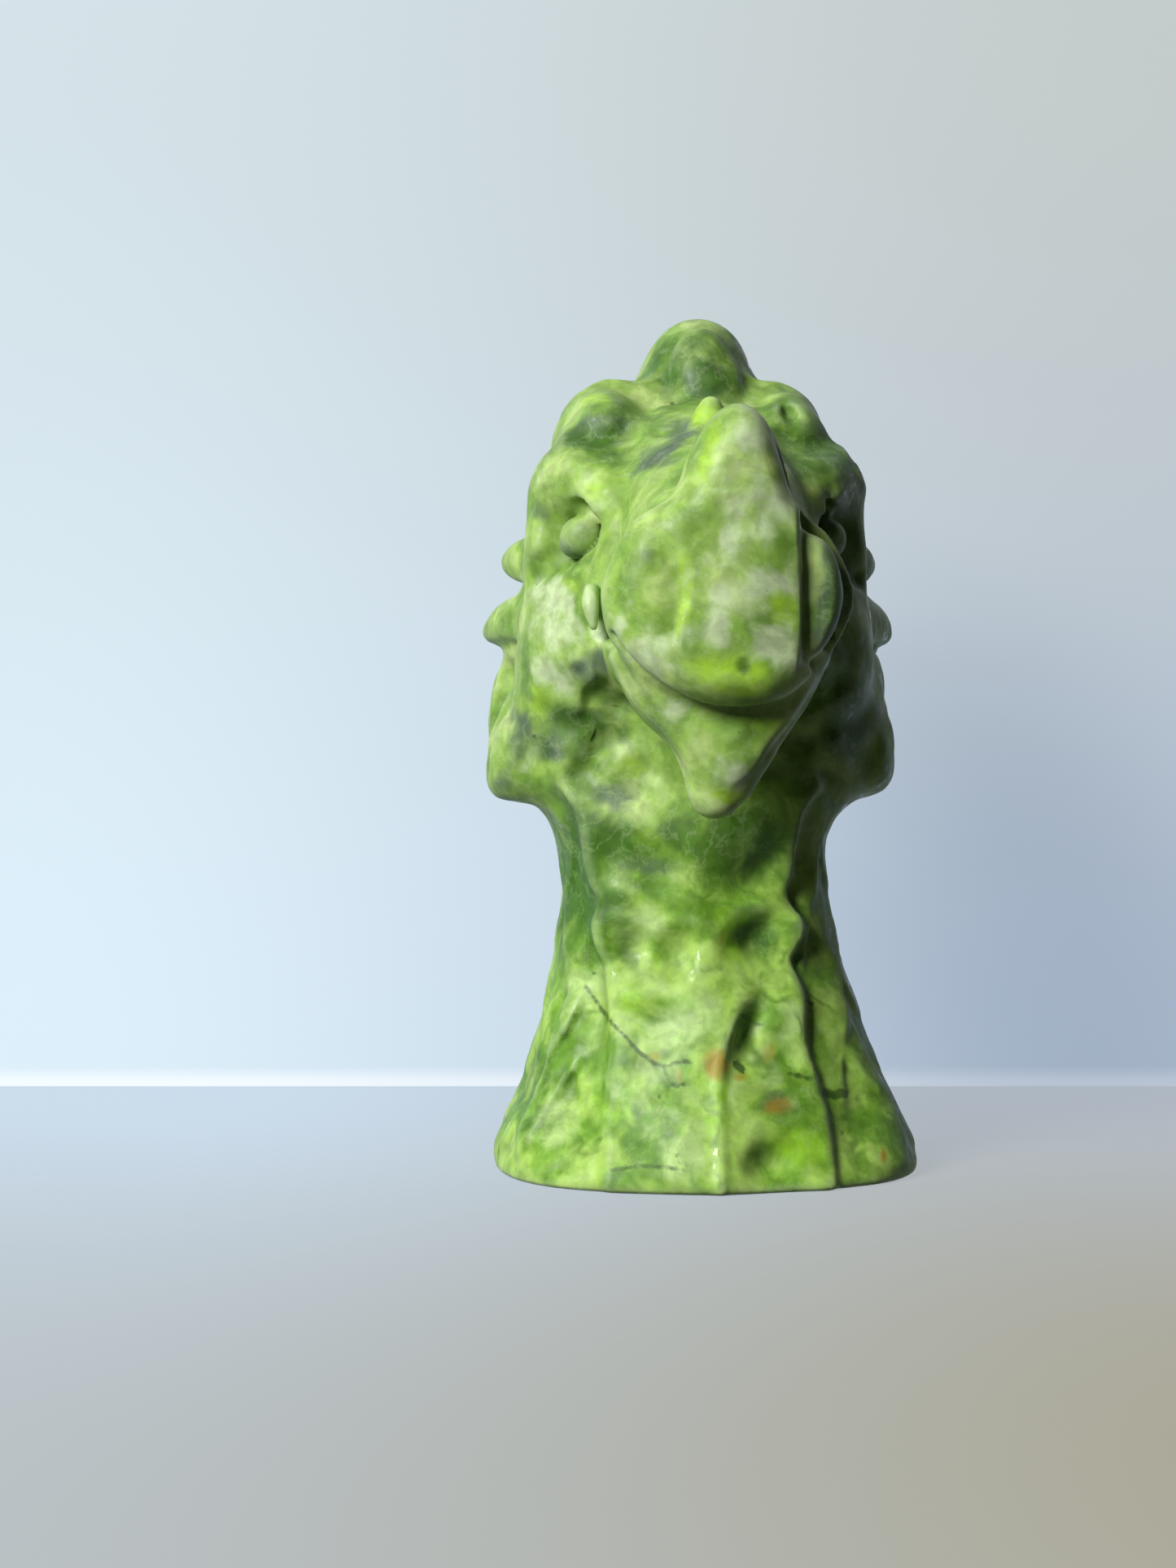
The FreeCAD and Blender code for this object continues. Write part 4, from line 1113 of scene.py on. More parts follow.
@dataclass
class Snout:
    """The spade-shaped snout, its horn, and the bridge of the nose behind it."""

    spade: Slab = Slab(
        ((-7.6, 81.4), (-11.3, 79.0), (-13.4, 75.7), (-14.7, 72.7), (-14.95, 70.0), (-14.4, 67.2),
         (-12.9, 64.6), (-10.4, 62.0), (-7.3, 59.8), (-4.0, 58.3), (-0.9, 57.7), (2.6, 57.9), (6.6, 59.0),
         (10.2, 61.7), (12.4, 64.6), (13.9, 67.4), (14.7, 70.6), (13.9, 74.0), (11.6, 78.0), (8.9, 80.6),
         (7.5, 83.2), (6.7, 86.1), (5.7, 88.6), (3.8, 91.1), (0.7, 92.3), (-2.0, 90.9), (-3.9, 88.3),
         (-5.1, 85.6), (-5.9, 83.4)),
        Sheet(-40.2, (0.0, 69.0), (0.0, 0.0), (0.0135, 0.0022)),
        Sheet(-34.6, (0.0, 69.0), (0.0, 0.02), (0.006, 0.0)),
        2.4, 0.8, 3.8, 1.2,
    )
    horn_floor: float = 81.5
    tube: tuple[Station, ...] = (
        Station(-39.0, (0.0, 70.2), 10.8, 10.8, 9.0, 9.0),
        Station(-36.0, (0.0, 70.4), 11.6, 11.6, 10.0, 11.0),
        Station(-31.0, (0.0, 71.0), 11.5, 11.5, 9.4, 13.0),
        Station(-25.0, (0.0, 71.6), 11.8, 11.8, 8.6, 14.6),
        Station(-18.0, (0.0, 72.0), 12.6, 12.6, 8.0, 16.0),
        Station(-8.0, (0.0, 74.0), 12.0, 12.0, 8.0, 16.0),
    )
    bridge: Limb = Limb(
        ((0.0, -4.0, 88.6), (0.0, -15.0, 84.6), (0.0, -25.0, 79.6), (0.0, -32.0, 75.0)),
        (9.6, 9.2, 8.6, 7.4),
        (1.22, 1.0, 1.0),
    )
    horn_stem: Limb = Limb(
        ((1.0, -35.8, 80.0), (1.0, -35.6, 86.0), (0.9, -35.6, 90.2)),
        (5.4, 4.0, 2.2),
        (1.25, 0.9, 1.0),
    )

    def carve(self, block: Block) -> None:
        """Adds the snout and carves its front and its sides."""
        block.add(self.bridge, Mass.NOSE_BRIDGE, 3.2)
        block.add(Trunk(self.tube, lying=True), Mass.MUZZLE, 2.4)
        block.add(self.spade, Mass.MUZZLE, 1.2)
        block.add(self.horn_stem, Mass.NOSE_HORN, 1.6)
        self.mark_front(block)
        self.mark_bridge(block)
        self.name_horn(block)

    def name_horn(self, block: Block) -> None:
        """Gives what stands above the snout's shoulders to the horn."""
        cut = block.window((-9.0, -46.0, self.horn_floor), (11.0, -31.0, 96.0), 0.0)
        block.mass[cut] = Mass.NOSE_HORN.number

    def mark_front(self, block: Block) -> None:
        """Carves the pad down the middle and the two wings."""
        marks = (
            Stroke(
                ((-7.4, 63.0), (-7.1, 67.0), (-6.3, 70.1), (-6.8, 73.0), (-7.8, 76.4), (-9.6, 79.0)),
                -0.5, 2.4, 0.25, 0.2,
            ),
            Stroke(((7.4, 61.4), (7.8, 67.7), (7.6, 73.2), (7.5, 80.6)), -1.5, 0.3, 9.0, 0.1),
            Dimple((15.4, 71.0), (8.2, 13.0), 2.2, 0.0, 1.5),
            Dimple((7.2, 87.2), (2.8, 6.4), 2.0, 12.0),
            Dimple((0.6, 78.6), (4.4, 2.0), 0.35),
            Dimple((0.4, 71.0), (4.6, 6.0), -0.35),
            Dimple((-1.6, 62.6), (4.6, 1.7), 0.3),
        )
        block.mark(View.FRONT, (-47.0, -34.0), marks)

    def mark_bridge(self, block: Block) -> None:
        """Carves the wrinkles that run across the bridge, behind the snout."""
        wrinkles = []
        for index in range(14):
            lift = 0.92 * index
            arc = (
                (-13.6 - 0.12 * lift, 77.4 + 0.92 * lift),
                (-11.6 - 0.12 * lift, 80.6 + 0.86 * lift),
                (-8.4, 82.8 + 0.84 * lift),
                (-4.0, 83.8 + 0.86 * lift),
                (1.0, 84.0 + 0.88 * lift),
            )
            wrinkles.append(Stroke(arc, -0.14, 0.36))
            wrinkles.append(wrinkles[-1].mirrored())
        block.mark(View.FRONT, (-33.0, -6.0), wrinkles)


@dataclass
class LowerJaw:
    """The lower jaw with its rolled lip, the hanging chin and the barb behind it."""

    chin: Slab = Slab(
        ((-13.4, 64.6), (-12.9, 62.2), (-11.6, 59.6), (-9.7, 57.0), (-7.3, 54.6), (-5.7, 52.6), (-4.4, 50.2),
         (-2.6, 48.2), (-0.8, 47.2), (0.8, 46.8), (2.3, 47.4), (3.4, 49.4), (5.0, 51.8), (6.9, 55.0),
         (9.2, 58.2), (11.0, 61.4), (12.2, 64.6), (8.0, 67.0), (-9.0, 67.0)),
        Sheet(-35.3, (0.0, 58.0), (0.0, -0.06), (0.02, 0.006)),
        Sheet(-30.4, (0.0, 58.0), (0.0, -0.38), (0.03, 0.0)),
        1.5, 1.0, 3.2, 1.1,
    )
    keel: Trunk = Trunk(
        (
            Station(-36.0, (0.0, 64.0), 11.8, 10.8, 15.6, 3.0, 1.25),
            Station(-33.0, (0.0, 64.6), 12.6, 11.6, 14.4, 3.0, 1.3),
            Station(-28.0, (0.0, 65.2), 12.9, 12.0, 12.4, 3.0, 1.5),
            Station(-20.0, (0.0, 65.8), 13.4, 12.7, 10.8, 3.0, 1.7),
            Station(-8.0, (0.0, 66.4), 13.4, 12.8, 10.0, 3.0, 1.8),
        ),
        lying=True,
        end_soft=1.6,
    )
    barb: Limb = Limb(
        ((-0.8, -29.0, 55.0), (-1.2, -31.6, 49.6), (-1.4, -32.6, 47.5)),
        (4.2, 3.2, 2.4),
        (1.12, 0.9, 1.0),
    )

    def carve(self, block: Block) -> None:
        """Adds the jaw and opens the line of the mouth."""
        block.add(self.keel, Mass.LOWER_JAW, 1.2)
        block.add(self.barb, Mass.CHIN_BARB, 0.9)
        block.add(self.chin, Mass.LOWER_JAW, 0.7)
        self.open_mouth(block)
        self.mark_jaw(block)

    def open_mouth(self, block: Block) -> None:
        """Cuts the mouth's line along both sides and under the snout's front."""
        for side in Side:
            corner = Limb(
                ((14.6, -17.8, 69.2), (13.6, -21.0, 68.2), (12.9, -28.0, 67.0), (12.4, -34.5, 66.4)),
                (0.35, 0.5, 0.5, 0.5),
            )
            block.cut(corner.mirrored(side), 0.8)
        lip = (
            (-13.6, -37.0, 65.8), (-10.7, -37.4, 62.1), (-7.5, -37.7, 59.8), (-4.2, -37.8, 58.3),
            (-0.8, -37.9, 57.6), (2.8, -37.8, 57.9), (6.7, -37.6, 59.0), (10.2, -37.3, 61.6),
            (12.4, -37.0, 65.0),
        )
        block.cut(Limb(lip, (0.75,) * len(lip)), 0.5)

    def mark_jaw(self, block: Block) -> None:
        """Draws the rolled edge inside the jaw's outline."""
        marks = (
            Stroke(
                ((-10.4, 60.4), (-8.6, 57.6), (-6.2, 55.2), (-4.2, 52.6), (-3.3, 49.8)),
                -0.35, 0.5, 1.0, 0.2,
            ),
            Stroke(((-0.4, 56.6), (-0.6, 53.0), (-0.6, 49.0)), 0.3, 1.8, 1.0, 0.3),
        )
        block.mark_both((-44.0, -33.0), marks)


@dataclass
class Face:
    """Brows, eye sockets, cheeks and the folds round the mouth."""

    brow: Limb = Limb(
        ((10.6, -16.4, 82.8), (12.8, -14.8, 85.2), (15.4, -12.2, 86.6), (17.4, -8.0, 86.4),
         (18.0, -3.0, 84.6)),
        (2.2, 3.0, 3.6, 3.5, 2.8),
    )
    forehead: Ball = Ball((12.8, -7.2, 88.8), (7.6, 5.8, 5.6), (0.0, 14.0, 24.0))
    temple: Ball = Ball((17.2, -3.4, 79.6), (4.4, 7.4, 8.4), (0.0, 0.0, 26.0))
    cheek: Ball = Ball((14.2, -4.8, 66.2), (8.6, 9.6, 12.0), (0.0, 0.0, 22.0))
    cheek_plate: Slab = Slab(
        ((8.6, 81.2), (11.4, 79.9), (13.2, 78.8), (15.2, 77.2), (17.6, 75.4), (20.0, 73.5), (22.0, 71.8),
         (22.6, 69.5), (22.7, 65.4), (22.2, 60.0), (20.4, 57.4), (17.4, 57.4), (14.4, 60.4), (12.0, 66.0),
         (10.0, 73.0), (8.2, 78.0)),
        Sheet(-13.6, (17.0, 70.0), (1.08, -0.06), (0.05, 0.009)),
        Sheet(-2.0, (17.0, 70.0), (0.6, 0.0)),
        1.2, 0.0, 3.6, 1.2,
    )
    nasal_fold: Limb = Limb(
        ((12.6, -16.6, 83.4), (11.8, -17.6, 80.6), (12.7, -17.4, 77.4), (13.5, -17.2, 74.6),
         (14.2, -17.0, 72.0)),
        (1.7, 1.6, 1.6, 1.4, 1.1),
    )
    socket: Limb = Limb(
        ((13.4, -16.8, 81.0), (14.3, -16.3, 82.4), (15.8, -15.4, 82.9), (17.6, -14.0, 81.9),
         (19.0, -12.8, 80.2)),
        (0.9, 1.4, 1.7, 1.3, 0.6),
    )
    under_eye: Limb = Limb(
        ((16.2, -15.8, 78.9), (17.8, -14.4, 77.9), (19.6, -12.0, 76.9), (21.6, -9.0, 75.4)),
        (1.8, 1.9, 1.7, 1.3),
    )
    eyeball: Ball = Ball((15.9, -12.9, 79.8), (3.1, 2.6, 2.5), (0.0, 24.0, 26.0))
    fang: Limb = Limb(((14.9, -19.0, 72.6), (15.0, -19.8, 70.6), (14.6, -20.0, 68.0)), (0.85, 0.9, 0.4))

    def carve(self, block: Block) -> None:
        """Adds the soft masses, then opens the sockets and folds."""
        for side in Side:
            block.add(self.cheek.mirrored(side), side.mass("cheek"), 3.2)
            block.add(self.temple.mirrored(side), Mass.SKULL, 3.4)
            block.add(self.forehead.mirrored(side), side.mass("brow"), 3.6)
            block.add(self.brow.mirrored(side), side.mass("brow"), 3.2)
            block.add(self.nasal_fold.mirrored(side), side.mass("brow"), 2.6)
            block.cut(self.under_eye.mirrored(side), 1.8)
            block.add(self.cheek_plate.mirrored(side), side.mass("cheek"), 1.6)
            block.cut(self.socket.mirrored(side), 0.7)
            block.add(self.eyeball.mirrored(side), side.mass("eye"), 0.6)
            block.add(self.fang.mirrored(side), side.mass("fang"), 0.3)
        self.mark_folds(block)

    def mark_folds(self, block: Block) -> None:
        """Draws the folds that fan out from the mouth's corner and over the brow."""
        marks = (
            Stroke(((-14.9, 68.2), (-15.7, 66.4), (-16.9, 63.8), (-17.2, 61.0)), 0.35, 0.7, 1.4, 0.3),
            Stroke(((-14.4, 67.6), (-14.6, 65.2), (-14.8, 62.6), (-14.0, 60.2)), 0.3, 0.5, 1.2),
            Stroke(((-13.9, 67.6), (-13.1, 65.2), (-12.0, 62.6), (-9.4, 59.2)), 0.35, 0.6, 1.2),
            Stroke(((-18.4, 64.4), (-15.4, 61.0), (-12.0, 59.0), (-9.0, 57.4)), -1.1, 1.3, 1.3),
            Stroke(((-13.4, 81.0), (-15.2, 83.4), (-17.4, 86.2)), 0.5, 0.9, 1.0, 0.3),
            Stroke(((-17.2, 93.0), (-14.0, 91.8), (-10.6, 92.4), (-8.2, 94.4)), -0.7, 1.5, 1.0, 0.3),
            Stroke(((-7.8, 92.2), (-5.0, 92.0), (-2.8, 93.2)), -0.5, 0.6, 1.0, 0.3),
            Stroke(((-19.6, 91.6), (-20.0, 88.4), (-21.4, 84.8)), 0.45, 0.8, 1.0, 0.3),
            Stroke(((-16.9, 96.4), (-18.0, 92.4), (-18.6, 88.8)), 0.4, 0.8, 1.0, 0.3),
            Dimple((-19.0, 79.6), (1.6, 2.6), 0.5, 20.0),
        )
        block.mark_both((-28.0, 6.0), marks)


@dataclass
class Crown:
    """The crest, the brow horn and the two swept horns."""

    rear_lobe: Ball = Ball((1.1, 9.6, 101.6), (7.6, 12.0, 9.8), (6.0, 0.0, 0.0))
    rear_flare: Limb = Limb(
        ((1.0, 2.0, 98.0), (1.0, 14.0, 98.6), (0.8, 22.0, 95.6)),
        (4.6, 5.2, 3.6),
        (1.5, 1.0, 1.0),
    )
    front_lobe: Ball = Ball((0.9, -1.4, 98.4), (5.4, 3.9, 10.0), (-8.0, 0.0, 0.0))
    brow_horn: Limb = Limb(((0.0, -14.6, 88.0), (0.0, -16.4, 92.4), (0.0, -17.2, 95.2)), (4.6, 3.0, 1.5))
    horn_points: tuple[Point, ...] = (
        (12.0, -6.0, 94.2), (11.9, -2.0, 94.9), (12.0, 4.0, 95.8), (12.6, 12.0, 95.6),
        (13.8, 21.0, 94.4), (15.0, 30.0, 94.4), (15.8, 36.0, 95.6),
    )
    horn_radii: tuple[float, ...] = (4.0, 5.0, 5.6, 5.0, 4.0, 2.7, 1.3)
    ring_from: float = 9.0
    ring_step: float = 3.0
    ring_height: float = 0.34

    def carve(self, block: Block) -> None:
        """Adds the crest and the horns."""
        block.add(self.rear_flare, Mass.CREST_REAR, 3.0)
        block.add(self.rear_lobe, Mass.CREST_REAR, 3.4)
        block.add(self.front_lobe, Mass.CREST_FRONT, 0.9)
        block.add(self.brow_horn, Mass.BROW_HORN, 0.8)
        for side in Side:
            horn = Limb(self.horn_points, self.horn_radii).mirrored(side)
            block.add(horn, side.mass("horn"), 2.4)
        self.ring_horns(block)
        marks = (
            Dimple((11.0, 95.7), (0.9, 1.5), 2.2, 20.0, 2.2),
            Dimple((-3.6, 100.6), (1.4, 3.6), 0.7, 10.0),
            Dimple((3.2, 103.4), (1.8, 2.6), 0.5),
            Stroke(((-17.4, 92.6), (-14.6, 93.4), (-11.6, 93.0), (-8.6, 94.6)), -0.9, 1.2, 1.4),
        )
        block.mark(View.FRONT, (-14.0, 2.0), marks)

    def ring_horns(self, block: Block) -> None:
        """Cuts the growth rings round the rear half of the horns."""
        y = block.axes[1]
        wave = np.cos(2.0 * np.pi * (y - self.ring_from) / self.ring_step) * self.ring_height
        wave = wave * smooth_step((y - self.ring_from) / 4.0)
        for side in Side:
            horned = block.mass == side.mass("horn").number
            block.field -= np.where(horned, wave[None, :, None], 0.0).astype(np.float32)


@dataclass
class Flanks:
    """The blunt spikes and the carved locks on the sides and the back of the head."""

    upper_spike: Limb = Limb(((15.0, 5.0, 78.4), (20.0, 9.4, 78.9), (22.4, 12.0, 79.0)), (5.6, 4.0, 2.5))
    middle_spike: Limb = Limb(((15.0, 4.0, 70.4), (21.0, 9.6, 69.9), (25.0, 13.2, 69.8)), (8.0, 5.3, 2.3))
    mane_count: int = 4  # locks on each side of the back
    mane_step: float = 4.3

    def carve(self, block: Block) -> None:
        """Adds the spikes, then draws the locks."""
        for side in Side:
            block.add(self.upper_spike.mirrored(side, False), side.mass("upper_spike"), 1.6)
            block.add(self.middle_spike.mirrored(side, False), side.mass("middle_spike"), 1.8)
            self.mark_side(block, side)
        self.mark_back(block)

    def mark_side(self, block: Block, side: Side) -> None:
        """Draws the locks that sweep back from the face, in side view."""
        marks = (
            Stroke(((-2.0, 88.0), (6.0, 87.4), (14.0, 84.0), (21.0, 78.0)), -0.9, 0.9, 1.6, 0.2),
            Stroke(((0.0, 82.6), (5.0, 83.4), (12.0, 82.0), (20.0, 75.0)), -0.8, 0.8, 1.6, 0.2),
            Stroke(((4.0, 75.0), (10.0, 75.2), (16.0, 73.6), (22.0, 68.4)), -0.9, 0.8, 1.8, 0.2),
            Stroke(((1.0, 66.6), (8.0, 67.6), (16.0, 66.6), (22.0, 61.0)), -0.8, 0.8, 1.6, 0.2),
            Stroke(((7.6, 64.0), (8.4, 58.0), (8.2, 52.0), (7.0, 47.6)), -0.5, 0.8, 1.4, 0.15),
            Stroke(((12.0, 64.6), (13.4, 59.0), (13.6, 54.0), (12.6, 50.0)), -0.6, 0.8, 1.4, 0.2),
            Stroke(((17.0, 64.0), (18.6, 58.6), (18.4, 54.0), (16.8, 50.6)), -0.6, 0.8, 1.4, 0.2),
            Stroke(((0.4, 63.0), (1.6, 57.6), (1.4, 52.0), (0.4, 48.6)), -0.5, 0.9, 1.4, 0.2),
            Stroke(((3.6, 62.0), (4.6, 57.0), (4.4, 52.6)), 0.4, 1.0, 1.0, 0.3),
        )
        span = (8.0, 34.0) if side is Side.LEFT else (-34.0, -8.0)
        block.mark(View.SIDE, span, marks)

    def mark_back(self, block: Block) -> None:
        """Draws the mane on the back of the head, in front view from behind."""
        marks = []
        for index in range(self.mane_count):
            out = 4.6 + self.mane_step * index
            course = (
                (out, 90.0 - 1.5 * index), (out + 1.6, 80.0), (out + 0.6, 70.0),
                (out + 1.8, 60.0), (out - 0.8, 49.0),
            )
            marks.append(Stroke(course, -0.9, 0.8, 1.7, 0.15))
        block.mark_both((10.0, 30.0), marks)


@dataclass
class Spine:
    """The row of spines down the nape."""

    count: int = 5
    lean: float = 24.0  # degrees that a spine points up from level
    length: float = 13.0
    radii: tuple[float, ...] = (6.6, 4.4, 1.5)
    flat: Point = (0.82, 1.0, 1.1)
    tip_inside: float = 1.7  # how far the tip's middle lies inside the frame's box, to the back
    tip_under: float = 2.6  # and upwards

    def carve(self, block: Block) -> None:
        """Adds each spine where the frame has it."""
        for number in range(1, self.count + 1):
            mass = Mass("nape_spine_" + str(number))
            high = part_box(mass.value)[1]
            tip_y = high[1] / MM - self.tip_inside
            tip_z = high[2] / MM - self.tip_under
            run = math.cos(math.radians(self.lean)) * self.length
            drop = math.sin(math.radians(self.lean)) * self.length
            root = (0.0, tip_y - run, tip_z - drop)
            middle = (0.0, tip_y - 0.42 * run, tip_z - 0.55 * drop)
            tip = (0.0, tip_y, tip_z)
            block.add(Limb((root, middle, tip), self.radii, self.flat), mass, 1.6)


def carve_stone(pitch: float) -> Block:
    """Carves the whole head.

    Args:
        pitch: the grid's step in millimetres.

    Returns:
        The carved block.
    """
    block = Block(BLOCK_LOW, BLOCK_HIGH, pitch)
    for maker in (Neck(), Head(), Snout(), LowerJaw(), Crown(), Face(), Flanks(), Spine()):
        maker.carve(block)
        LOG.info("carved %s", type(maker).__name__)
    floor = -block.axes[2][None, None, :]
    block.field = smooth_most(block.field, floor, 1.0)
    return block


def finished_skin(block: Block) -> Skin:
    """The carving's surface with the unevenness that grinding and polishing by hand leave."""
    skin = Wrapper(block).skin()
    skin.normals = vertex_normals(skin.points, skin.quads)
    wave = np.zeros(len(skin.points))
    for seed, (height, size) in enumerate(HAND_WAVES, 1):
        wave += height * ground_noise(skin.points, size, seed)
    lifted = smooth_step(skin.points[:, 2] / 2.0)
    skin.points = skin.points + skin.normals * (wave * lifted)[:, None]
    skin.points[:, 2] = np.maximum(skin.points[:, 2], 0.0)
    skin.normals = vertex_normals(skin.points, skin.quads)
    return skin


def border_loops(quads: Array) -> list[list[int]]:
    """The open borders of a set of quads, each as a loop of vertex numbers.

    Args:
        quads: the faces.

    Returns:
        The loops, in the direction of the faces' own edges.
    """
    starts = quads.ravel()
    ends = np.roll(quads, -1, axis=1).ravel()
    size = int(quads.max()) + 1
    forward = starts.astype(np.int64) * size + ends
    backward = ends.astype(np.int64) * size + starts
    open_edges = ~np.isin(forward, backward)
    follow: dict[int, list[int]] = {}
    for start, end in zip(starts[open_edges], ends[open_edges]):
        follow.setdefault(int(start), []).append(int(end))
    loops = []
    while follow:
        start = next(iter(follow))
        loop = [start]
        at = start
        while True:
            nexts = follow[at]
            after = nexts.pop()
            if not nexts:
                del follow[at]
            if after == start or after not in follow:
                break
            loop.append(after)
            at = after
        loops.append(loop)
    return loops


def capped(
    points: Array, normals: Array, quads: Array, depth: float
) -> tuple[Array, list[tuple[int, ...]]]:
    """Closes a patch of skin into a solid, with an inner wall and a lid inside the stone.

    Args:
        points: the patch's vertices.
        normals: their directions.
        quads: its faces.
        depth: how far inside the stone the lid lies.

    Returns:
        All the vertices, and the added faces.
    """
    added_points = []
    added_faces = []
    total = len(points)
    for loop in border_loops(quads):
        if len(loop) < 3:
            continue
        inner = points[loop] - normals[loop] * depth
        first = total + sum(len(part) for part in added_points)
        count = len(loop)
        middle = first + count
        added_points.append(np.vstack([inner, inner.mean(axis=0)[None, :]]))
        for index, vertex in enumerate(loop):
            after = (index + 1) % count
            added_faces.append((loop[after], vertex, first + index, first + after))
            added_faces.append((first + after, first + index, middle))
    if added_points:
        points = np.vstack([points] + added_points)
    return points, added_faces


def dress(piece: bpy.types.Object, *nodes: str) -> None:
    """Seats a piece in the frame, where it stands for nodes."""
    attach(piece, ROOT)
    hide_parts(*nodes)


class Tint(Enum):
    """The stone's tints, by the name of the layer that holds each one's share; the grey and the deep ones
    also carry painted shade.
    """

    PALE = "pale"
    LIME = "lime"
    # grey-green stone, and painted shade in places
    GREY = "grey"
    # dark green stone, and painted shade in many places
    DEEP = "deep"
    RUST = "rust"


@dataclass(frozen=True)
class Cloud:
    """A soft cloud of another tint in the stone.

    Attributes:
        centre: its middle.
        half: its half sizes.
        strength: its share at the middle.
    """

    centre: Point
    half: Point
    strength: float = 1.0

    def share(self, places: Array) -> Array:
        """The cloud's share at places, one row each."""
        spread = np.linalg.norm((places - np.asarray(self.centre)) / np.asarray(self.half), axis=1)
        return self.strength * smooth_step((CLOUD_EDGE - spread) / CLOUD_FADE)


@dataclass
class Tinting:
    """Where the stone's tints (some of them painted shade) and cracks lie, the edges that get a painted
    highlight, and the creases and hollows that get painted shade.
    """

    warp: float = 1.3  # how far the clouds' outlines wander, in millimetres
    warp_size: float = 5.0
    warp_seeds: tuple[int, ...] = (11, 12, 13)
    veined_top: float = 47.0  # the stone is veined below this height
    veined_fade: float = 12.0
    crack_front: float = -3.0  # cracks are drawn in front of this Y
    edge_height: float = 0.16  # how proud of its smoothed surroundings a full edge stands
    rim_start: float = 0.15
    crease_start: float = 0.1
    hollow_rounds: int = 24  # how widely hollows are looked for
    hollow_depth: float = 7.0  # of a full hollow, in edge heights
    hollow_start: float = 0.06
    clouds: dict[Tint, tuple[Cloud, ...]] = field(default_factory=lambda: STONE_CLOUDS)
    cracks: tuple[Relief, ...] = field(default_factory=lambda: STONE_CRACKS)

    def layers(self, skin: Skin) -> dict[str, Array]:
        """Each layer's share at the skin's vertices, by the layer's name."""
        drift = [ground_noise(skin.points, self.warp_size, seed) for seed in self.warp_seeds]
        places = skin.points + self.warp * np.stack(drift, axis=1)
        found = {tint.value: self.gathered(tint, places) for tint in Tint}
        found["crack"] = self.cracked(skin.points)
        found["veined"] = smooth_step((self.veined_top - skin.points[:, 2]) / self.veined_fade)
        sharp = self.sharpness(skin)
        # Edges get a painted highlight; creases and hollows get painted shade.
        found["rim"] = np.clip(sharp - self.rim_start, 0.0, 1.0)
        found["crease"] = np.clip(-sharp - self.crease_start, 0.0, 1.0)
        # Hollows, which get painted shade.
        sunk = -self.sharpness(skin, self.hollow_rounds) / self.hollow_depth
        found["hollow"] = np.clip(sunk - self.hollow_start, 0.0, 1.0)
        return found

    def gathered(self, tint: Tint, places: Array) -> Array:
        """The joint share of all the clouds of a tint."""
        rest = np.ones(len(places))
        for cloud in self.clouds.get(tint, ()):
            rest = rest * (1.0 - cloud.share(places))
        return 1.0 - rest

    def cracked(self, points: Array) -> Array:
        """The dark hairlines on the front."""
        share = np.zeros(len(points))
        front = np.nonzero(points[:, 1] < self.crack_front)[0]
        for crack in self.cracks:
            share[front] = np.maximum(share[front], crack.height_at(points[front, 0], points[front, 2]))
        return share

    def sharpness(self, skin: Skin, rounds: int = 4) -> Array:
        """How much each vertex stands on an edge, or with a negative value in a crease."""
        smooth = skin.points
        for _ in range(rounds):
            smooth = evened(smooth, skin.quads, 1.0)
        return ((skin.points - smooth) * skin.normals).sum(axis=1) / self.edge_height


def clouds(*rows: tuple[float, ...]) -> tuple[Cloud, ...]:
    """Clouds from rows of a middle, half sizes and a strength."""
    return tuple(Cloud(row[:3], row[3:6], row[6]) for row in rows)


